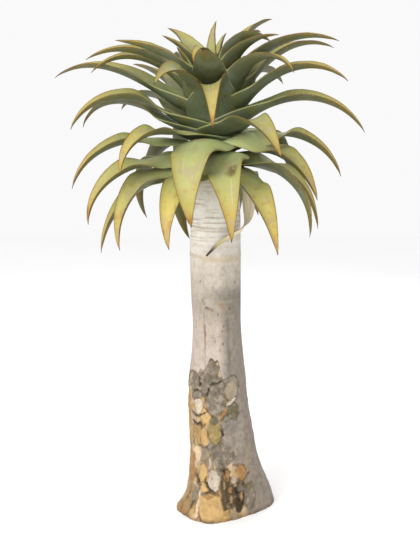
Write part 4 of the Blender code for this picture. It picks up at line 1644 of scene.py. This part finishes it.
@dataclass
class LeafBlade:
    """One leaf: a channelled blade with a clasping base and a toothed margin.

    A span is the pair of places, as shares of the leaf's length, between which something comes in.
    """

    habit: LeafHabit
    skin: bpy.types.Material
    rings: int = 72
    strips: int = 14
    ring_bunching: float = 1.08  # above 1, rings stand closer together towards the base
    strip_bunching: float = 0.92  # the nearer to 1, the closer strips stand towards the margins
    fullness: float = 1.03  # the blade's width, as a share of what its habit says
    base_spread: float = 1.12  # the width of its base, as a share of what its form says
    base_span: Span = (0.36, 0.06)
    tip_pinch: float = 0.5  # share of its width that it loses at the very tip
    tip_span: Span = (0.95, 1.0)
    drape_spans: tuple[Span, Span] = ((0.0, 0.06), (0.52, 0.26))
    lift_spans: tuple[Span, Span] = ((0.0, 0.08), (0.40, 0.16))
    clasp_turn: float = 1.75  # half of the trunk's girth that the base clasps at most, in radians
    clasp_share: float = 1.55  # how much of its width goes round the trunk
    clasp_length: float = 0.32  # share of the leaf over which its margins leave the trunk
    keel_leaves: float = 0.45  # share of that over which its keel leaves the trunk
    lowest_hold: float = 0.03  # how far below its seat the trunk's radius is still followed
    base_thinning: float = 0.35  # thickness where the base meets the trunk, as a share
    base_thinning_span: Span = (0.0, 0.10)
    tip_thinning: float = 0.7  # share of its thickness that it loses at the very tip
    tip_thinning_span: Span = (0.9, 1.0)
    keel_form: float = 0.8  # below 1, the keel is blunter
    sink: float = 0.004  # how deep the base starts in the trunk
    sink_span: Span = (0.04, 0.0)
    stack: float = 0.022  # how far its clasp stands off the trunk, over the bases of younger leaves
    stack_span: Span = (0.0, 0.08)
    wave: float = 0.0022  # how far the margins waver
    wave_scale: Span = (9, 1.3)  # how often, along the leaf and across it
    wave_span: Span = (1.0, 5 / 6)
    margin_bulge: float = 0.45  # how round the margins are, as a share of their thickness
    tooth_span: Span = (0.17, 0.965)
    tooth_spacing: float = 0.0078
    tooth_jitter: float = 0.4  # how far teeth stray, as a share of the spacing
    tooth_height: float = 0.0034
    tooth_width: float = 0.0054
    tooth_thickness: float = 0.0013
    tooth_sink: float = 0.0006  # how deep a tooth's root lies in the margin
    tooth_lean: float = 0.0016  # how far its tip leans towards the leaf's tip
    tooth_sizes: Span = (0.65, 0.5)  # the least size, and how much larger teeth may be
    tooth_shrink: float = 0.45  # how much smaller teeth are at the leaf's tip
    tooth_tint: float = 0.75  # how much of the teeth's own colour they show

    @property
    def full(self) -> float:
        """Half of the blade's full width."""
        return self.fullness * LEAF_WIDTH * self.habit.width / 2

    def spine(self) -> tuple[Array, Array, Array]:
        """The leaf's middle line.

        Returns:
            Shares of its length, its points, and the direction its upper face looks at each.
        """
        habit = self.habit
        share = np.linspace(0, 1, PATH_STEPS + 1)
        slope = np.radians(habit.rise - habit.droop * share ** habit.bend)[:, None]
        outward = facing(np.radians(habit.heading))
        upward = np.array((0, 0, 1))
        ahead = np.cos(slope) * outward + np.sin(slope) * upward
        up = np.cos(slope) * upward - np.sin(slope) * outward
        start = trunk_axis(habit.seat) + (trunk_radius(habit.seat) + SEAT_GAP) * outward
        steps = (ahead[1:] + ahead[:-1]) / 2 * habit.length / PATH_STEPS
        return share, np.vstack([start, start + np.cumsum(steps, axis=0)]), up

    def frame_along(self, at: Array) -> tuple[Array, Array, Array]:
        """Where the leaf is and how it is turned.

        Args:
            at: Shares of its length.

        Returns:
            Points of its middle line, and its sideways and upward directions there.
        """
        share, path, up = self.spine()
        up = unit(read_rows(at, share, up))
        side = facing(np.radians(self.habit.heading + 90))
        roll = np.radians(self.habit.roll) * smooth(at / ROLL_LENGTH)[:, None]
        side, up = side * np.cos(roll) + up * np.sin(roll), up * np.cos(roll) - side * np.sin(roll)
        return read_rows(at, share, path)[:, None], side[:, None], up[:, None]

    def free_blade(self, at: Array, across: Array, up: Array, side: Array) -> Array:
        """The blade's upper face where nothing holds it.

        Args:
            at: Shares of its length.
            across: Places across, from -1 to 1.
            up: Its upward direction at each share.
            side: Its sideways direction at each share.

        Returns:
            A vector from its middle line for each share and place.
        """
        habit = self.habit
        taper = 1 - self.tip_pinch * ease(at, *self.tip_span)
        widening = 1 + (habit.spread * self.base_spread - 1) * ease(at, *self.base_span)
        half = self.full * curve_at(at, BLADE_FORM) * taper * widening
        curl = np.radians(curve_at(at, CHANNEL_FORM))
        blade = channel((half / curl)[:, None], curl[:, None] * across, side, up)
        along_wave, across_wave = self.wave_scale
        wave_at = np.stack(np.broadcast_arrays(at[:, None] * along_wave, across * across_wave, 0.5), -1)
        wave = self.wave * LatticeNoise(habit.seed).layered(wave_at, 2)
        wave = wave * across ** 2 * ease(at[:, None], *self.wave_span)
        comes, goes = self.drape_spans
        drape = habit.drape * ease(at, *comes) * ease(at, *goes)
        comes, goes = self.lift_spans
        lift = habit.lift * ease(at, *comes) * ease(at, *goes)
        return blade + up * (wave - drape[:, None] * across ** 2 + lift[:, None])[..., None]

    def held_blade(self, at: Array, across: Array, heights: Array) -> Array:
        """The blade's upper face where it clasps the trunk.

        Args:
            at: Shares of its length.
            across: Places across, from -1 to 1.
            heights: The middle line's height at each share.

        Returns:
            A point for each share and place.
        """
        habit = self.habit
        clasp = self.clasp_share * self.full * habit.spread / float(trunk_radius(habit.seat))
        headings = np.radians(habit.heading) + min(self.clasp_turn, clasp) * across
        reach = trunk_radius(np.clip(heights, habit.seat - self.lowest_hold, TRUNK_FORM[-1, 0]))
        reach = reach + self.stack * ease(at, *self.stack_span) - self.sink * ease(at, *self.sink_span)
        return trunk_axis(heights)[:, None] + reach[:, None, None] * facing(headings)

    def faces_of_blade(self) -> tuple[Array, Array, Array, Array]:
        """The blade's upper and lower faces.

        Returns:
            Shares of the length, places across from -1 to 1, and both faces' points by ring and strip.
        """
        at = (np.arange(self.rings + 1) / self.rings) ** self.ring_bunching
        reach = math.pi / 2 * self.strip_bunching
        across = np.sin(np.linspace(-1, 1, self.strips + 1) * reach) / math.sin(reach)
        middle, side, up = self.frame_along(at)
        free = middle + self.free_blade(at, across, up, side)
        held = self.held_blade(at, across, middle[:, 0, 2])
        leaves = self.clasp_length * (self.keel_leaves + (1 - self.keel_leaves) * across ** 2)
        leave = smooth(at[:, None] / leaves)[..., None]
        upper = held * (1 - leave) + free * leave
        normal = unit(np.cross(np.gradient(upper, axis=0), np.gradient(upper, axis=1)), 1e-9)
        normal *= np.sign((normal * up).sum(-1).sum())
        thickness = LEAF_THICKNESS * (1 - THINNING * at ** THINNING_BEND)
        thickness *= 1 - self.tip_thinning * ease(at, *self.tip_thinning_span)
        thickness *= self.base_thinning + (1 - self.base_thinning) * ease(at, *self.base_thinning_span)
        keel = MARGIN_SHARE + (1 - MARGIN_SHARE) * (1 - across ** 2) ** self.keel_form
        return at, across, upper, upper - normal * (thickness[:, None] * keel)[..., None]

    def bruise_share(self, along: Array, across: Array) -> Array:
        """How bruised each point of the upper face is, from 0 to 1.

        Args:
            along: Shares of the length.
            across: Places across, from -1 to 1.

        Returns:
            A share for each point.
        """
        total = np.zeros_like(along)
        for bruise in BRUISES:
            if bruise.leaf == self.habit.name:
                lengthwise = (along - bruise.along) / bruise.half_length
                crosswise = (across - bruise.across) / bruise.half_width
                total = np.maximum(total, ease(np.hypot(lengthwise, crosswise), *BRUISE_SPAN))
        return total

    def teeth(self, at: Array, upper: Array, lower: Array, margin: int) -> tuple[Array, Array]:
        """The teeth along one margin.

        Args:
            at: Shares of the leaf's length.
            upper: The upper face's points.
            lower: The lower face's points.
            margin: The margin's strip: 0 or -1.

        Returns:
            Five points for each tooth, and where each tooth stands along the leaf.
        """
        beside = 1 if margin == 0 else -2
        edge = (upper[:, margin] + lower[:, margin]) / 2
        inner = (upper[:, beside] + lower[:, beside]) / 2
        run = np.concatenate([[0], np.cumsum(np.linalg.norm(np.diff(edge, axis=0), axis=1))])
        order = np.arange(int(run[-1] / self.tooth_spacing))
        noise = LatticeNoise(self.habit.seed + Seed.TEETH)
        jitter = noise.scatter(np.stack([order, 0 * order + margin, 0 * order], -1))
        goal = (order + (1 - self.tooth_jitter) / 2 + self.tooth_jitter * jitter) * self.tooth_spacing
        share = np.interp(goal, run, at)
        keep = (share > self.tooth_span[0]) & (share < self.tooth_span[1])
        goal, share, jitter = goal[keep], share[keep], jitter[keep]
        ahead = unit(read_rows(goal, run, np.gradient(edge, axis=0)))
        out = read_rows(goal, run, edge - inner)
        out = unit(out - (out * ahead).sum(1)[:, None] * ahead)
        root = read_rows(goal, run, edge) - out * self.tooth_sink
        size = (self.tooth_sizes[0] + self.tooth_sizes[1] * jitter) * (1 - self.tooth_shrink * share)
        size = size[:, None]
        long, thick = ahead * self.tooth_width / 2 * size, np.cross(ahead, out) * self.tooth_thickness * size
        tip = root + out * (self.tooth_height * size + self.tooth_sink) + ahead * self.tooth_lean * size
        return np.stack([root - long, root + thick, root + long, root - thick, tip], 1), share

    def outline(self, across: Array, upper: Array, lower: Array) -> tuple[Array, ...]:
        """Join both faces with round margins.

        Args:
            across: Places across, from -1 to 1.
            upper: The upper face's points.
            lower: The lower face's points.

        Returns:
            The rings' points, and for one ring, places across and shares of the upper face from 0 to 1.
        """
        rounds = []
        for margin, inner in ((-1, -2), (0, 1)):
            out = unit(upper[:, margin] - upper[:, inner], 1e-9)
            thick = np.linalg.norm(upper[:, margin] - lower[:, margin], axis=1)[:, None]
            middle = (upper[:, margin] + lower[:, margin]) / 2
            rounds.append((middle + out * thick * self.margin_bulge)[:, None])
        loop = np.concatenate([upper, rounds[0], lower[:, ::-1], rounds[1]], 1)
        wide = np.concatenate([across, [1.0], across[::-1], [-1.0]])
        above = np.concatenate([np.ones_like(across), [0.6], np.zeros_like(across), [0.6]])
        return loop, wide, above

    def build(self) -> bpy.types.Object:
        """Build the leaf.

        Returns:
            The leaf, dressed.
        """
        at, across, upper, lower = self.faces_of_blade()
        loop, wide, above = self.outline(across, upper, lower)
        rings, around = loop.shape[:2]
        mesh = MeshBuilder()
        marks = self.marks(np.repeat(at, around), np.tile(wide, rings), np.tile(above, rings))
        mesh.add(loop, tube_faces(rings, around), marks)
        for ring, order in ((0, 1), (rings - 1, -1)):
            corners = np.concatenate([loop[ring], loop[ring].mean(0)[None]])
            end = np.full(around + 1, at[ring])
            marks = self.marks(end, np.zeros_like(end), np.full_like(end, 0.5))
            mesh.add(corners, cap_faces(around, order), marks)
        for margin, side in ((0, -1), (-1, 1)):
            points, share = self.teeth(at, upper, lower, margin)
            faces = (np.arange(len(points))[:, None, None] * 5 + TOOTH_SIDES).reshape(-1, 3)
            end = np.repeat(share, 5)
            marks = self.marks(end, np.full_like(end, side), np.full_like(end, 0.6), self.tooth_tint)
            mesh.add(points, faces, marks)
        return mesh.make(self.habit.name + "_blade", self.skin, 55)

    def marks(self, along: Array, across: Array, above: Array, tooth: float = 0.0) -> dict[str, Array]:
        """The attributes that the skin reads.

        Args:
            along: Shares of the leaf's length, one for each corner.
            across: Places across, from -1 to 1.
            above: Shares of the upper face, from 0 to 1.
            tooth: How much of the teeth's own colour shows.

        Returns:
            Each attribute's values by its name.
        """
        own = np.array([self.habit.seed, int(self.habit.length * 1000), 1])
        return {
            "along": along,
            "across": across,
            "upper": above,
            "gold_and_light": np.full_like(along, self.habit.gold_and_light),
            "lot": np.full_like(along, LatticeNoise(Seed.LOT).scatter(own) * LOT_SPREAD),
            "bruise": self.bruise_share(along, across) * (above > 0.9),
            "tooth": np.full_like(along, tooth),
        }


# ---------------------------------------------------------------- the withered leaf
# A point on its middle line in each row: heading, height, distance off the bark, half of its width, and
# how far its blade stands out from the bark, in degrees.
WITHERED_ROUTE = (
    (97, 1.324, 0.0030, 0.004, 0),
    (94, 1.300, 0.0230, 0.014, 55),
    (90, 1.262, 0.0300, 0.024, 75),
    (84, 1.215, 0.0300, 0.025, 75),
    (74, 1.172, 0.0260, 0.019, 60),
    (55, 1.142, 0.0200, 0.011, 30),
    (30, 1.122, 0.0150, 0.008, 10),
    (4, 1.092, 0.0120, 0.006, 0),
    (-18, 1.048, 0.0150, 0.003, 0),
)


@dataclass
class WitheredLeaf:
    """The dead leaf that hangs down the right of the trunk and curls across its front."""

    skin: StrawSkin = field(default_factory=StrawSkin)
    rings: int = 110
    strips: int = 12
    thickness: float = 0.0026
    margin_share: float = 0.5  # thickness at its margins, as a share of that in its middle
    curl: float = 48  # how far its margins curl, in degrees: half of the arc
    crumple: float = 0.0016
    crumple_scale: Span = (7, 2.4)  # how often it is crumpled, along the leaf and across it
    crumple_width: float = 0.012  # half width from which it is crumpled in full

    def route(self) -> Array:
        """Spread rows evenly along a smooth curve through the route (Catmull-Rom).

        Returns:
            A row like the route's for each ring.
        """
        rows = np.array(WITHERED_ROUTE, float)
        padded = np.vstack([2 * rows[0] - rows[1], rows, 2 * rows[-1] - rows[-2]])
        place = np.linspace(0, len(rows) - 1, self.rings)
        span = np.minimum(place.astype(int), len(rows) - 2)
        t = (place - span)[:, None]
        before, start, end, after = (padded[span + shift] for shift in range(4))
        square = 2 * before - 5 * start + 4 * end - after
        cube = 3 * start - before - 3 * end + after
        return 0.5 * (2 * start + (end - before) * t + square * t ** 2 + cube * t ** 3)

    def build(self) -> bpy.types.Object:
        """Build the withered leaf.

        Returns:
            The leaf, dressed.
        """
        rows = self.route()
        outward = facing(np.radians(rows[:, 0]))
        path = trunk_axis(rows[:, 1]) + (trunk_radius(rows[:, 1]) + rows[:, 2])[:, None] * outward
        ahead = unit(np.gradient(path, axis=0))
        flat = unit(np.cross(ahead, outward))
        stand = np.cross(flat, ahead)
        tilt = np.radians(rows[:, 4])[:, None]
        side = (flat * np.cos(tilt) + stand * np.sin(tilt))[:, None]
        up = (stand * np.cos(tilt) - flat * np.sin(tilt))[:, None]
        across = np.linspace(-1, 1, self.strips + 1)
        along = np.linspace(0, 1, self.rings)
        turn = math.radians(self.curl) * across
        along_fold, across_fold = self.crumple_scale
        fold_at = np.stack(np.broadcast_arrays(along[:, None] * along_fold, across * across_fold, 0.2), -1)
        folds = self.crumple * LatticeNoise(Seed.STRAW).layered(fold_at, 3)
        folds = folds * smooth(rows[:, 3] / self.crumple_width)[:, None]
        bow = (rows[:, 3] / math.radians(self.curl))[:, None]
        upper = path[:, None] + channel(bow, turn, side, up) + up * folds[..., None]
        inward = up * np.cos(turn)[:, None] - side * np.sin(turn)[:, None]
        depth = self.thickness * (self.margin_share + (1 - self.margin_share) * (1 - across ** 2))
        loop = np.concatenate([upper, (upper - inward * depth[:, None])[:, ::-1]], 1)
        around = loop.shape[1]
        mesh = MeshBuilder()
        wide = np.tile(np.concatenate([across, across[::-1]]), self.rings)
        mesh.add(loop, tube_faces(self.rings, around), {"along": np.repeat(along, around), "across": wide})
        for ring, order in ((0, 1), (self.rings - 1, -1)):
            corners = np.concatenate([loop[ring], loop[ring].mean(0)[None]])
            end = np.full(around + 1, along[ring])
            mesh.add(corners, cap_faces(around, order), {"along": end, "across": np.zeros_like(end)})
        return mesh.make("withered_leaf", self.skin.material(), 50)


# ---------------------------------------------------------------- studio
@dataclass(frozen=True)
class Lamp:
    """A square area light that looks at the plant."""

    name: str
    place: Triple
    size: float
    power: float
    tint: Colour = (1.0, 1.0, 1.0)


@dataclass
class Studio:
    """The pale floor, the soft lights and the camera."""

    camera_place: Triple = (-0.0717, -3.16, 1.605)
    camera_tilt: float = 11.3  # degrees below level
    focal_length: float = 55.53
    sensor: float = 36.0
    floor_size: float = 14.0
    aim: Triple = (-0.05, 0.0, 1.1)
    lamps: tuple[Lamp, ...] = (
        Lamp("key", (-2.6, -2.8, 3.4), 2.2, 94),
        Lamp("front", (-0.4, -4.2, 2.0), 2.0, 40),
        Lamp("fill", (3.2, -1.8, 2.4), 2.4, 12),
        Lamp("back", (1.2, 3.2, 3.2), 2.5, 25),
    )
    sky: Colour = (1.0, 1.0, 1.0)
    sky_strength: float = 0.95

    def build_floor(self) -> bpy.types.Object:
        """Lay the floor.

        Returns:
            The floor, painted.
        """
        half = self.floor_size / 2
        corners = np.array(((-half, -half, 0), (half, -half, 0), (half, half, 0), (-half, half, 0)))
        mesh = MeshBuilder()
        mesh.add(corners, np.array(((0, 1, 2, 3),)), {})
        return mesh.make("floor", FloorPaint().material())

    def hang_lamp(self, lamp: Lamp) -> None:
        """Hang a lamp.

        Args:
            lamp: The lamp.
        """
        light = bpy.data.lights.new(lamp.name, "AREA")
        light.energy = lamp.power
        light.size = lamp.size
        light.color = lamp.tint
        made = bpy.data.objects.new(lamp.name, light)
        made.location = lamp.place
        look = np.array(self.aim) - np.array(lamp.place)
        flat = math.hypot(look[0], look[1])
        made.rotation_euler = (math.atan2(flat, -look[2]), 0, math.atan2(look[1], look[0]) - math.pi / 2)
        bpy.context.scene.collection.objects.link(made)

    def set_camera(self) -> None:
        """Place the camera."""
        lens = bpy.data.cameras.new("camera")
        lens.sensor_width = self.sensor
        lens.lens = self.focal_length
        camera = bpy.data.objects.new("camera", lens)
        camera.location = self.camera_place
        camera.rotation_euler = (math.radians(90 - self.camera_tilt), 0, 0)
        bpy.context.scene.collection.objects.link(camera)
        bpy.context.scene.camera = camera

    def build(self) -> bpy.types.Object:
        """Set up the whole studio.

        Returns:
            The floor.
        """
        world = bpy.data.worlds.new("studio")
        world.use_nodes = True
        sky = world.node_tree.nodes["Background"]
        sky.inputs["Color"].default_value = (*self.sky, 1)
        sky.inputs["Strength"].default_value = self.sky_strength
        bpy.context.scene.world = world
        bpy.context.scene.view_settings.view_transform = "Standard"
        for lamp in self.lamps:
            self.hang_lamp(lamp)
        self.set_camera()
        return self.build_floor()


# ---------------------------------------------------------------- the plant
def stand_for(piece: bpy.types.Object, node: str) -> None:
    """Let a piece stand for a node of the frame, and log it.

    Args:
        piece: The piece.
        node: The node that it replaces.
    """
    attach(piece, BODY)
    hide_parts(node)
    LOG.info("%s stands for %s with %d faces", piece.name, node, len(piece.data.polygons))


def main() -> None:
    """Build the studio and the plant in order."""
    logging.basicConfig(level=logging.INFO, format="%(name)s: %(message)s")
    Studio().build()
    stand_for(Trunk().build(), "trunk")
    skin = LeafSkin().material()
    for habit in LEAVES:
        stand_for(LeafBlade(habit, skin).build(), habit.name)
    stand_for(WitheredLeaf().build(), "dead_leaf")


if __name__ == "__main__":
    main()
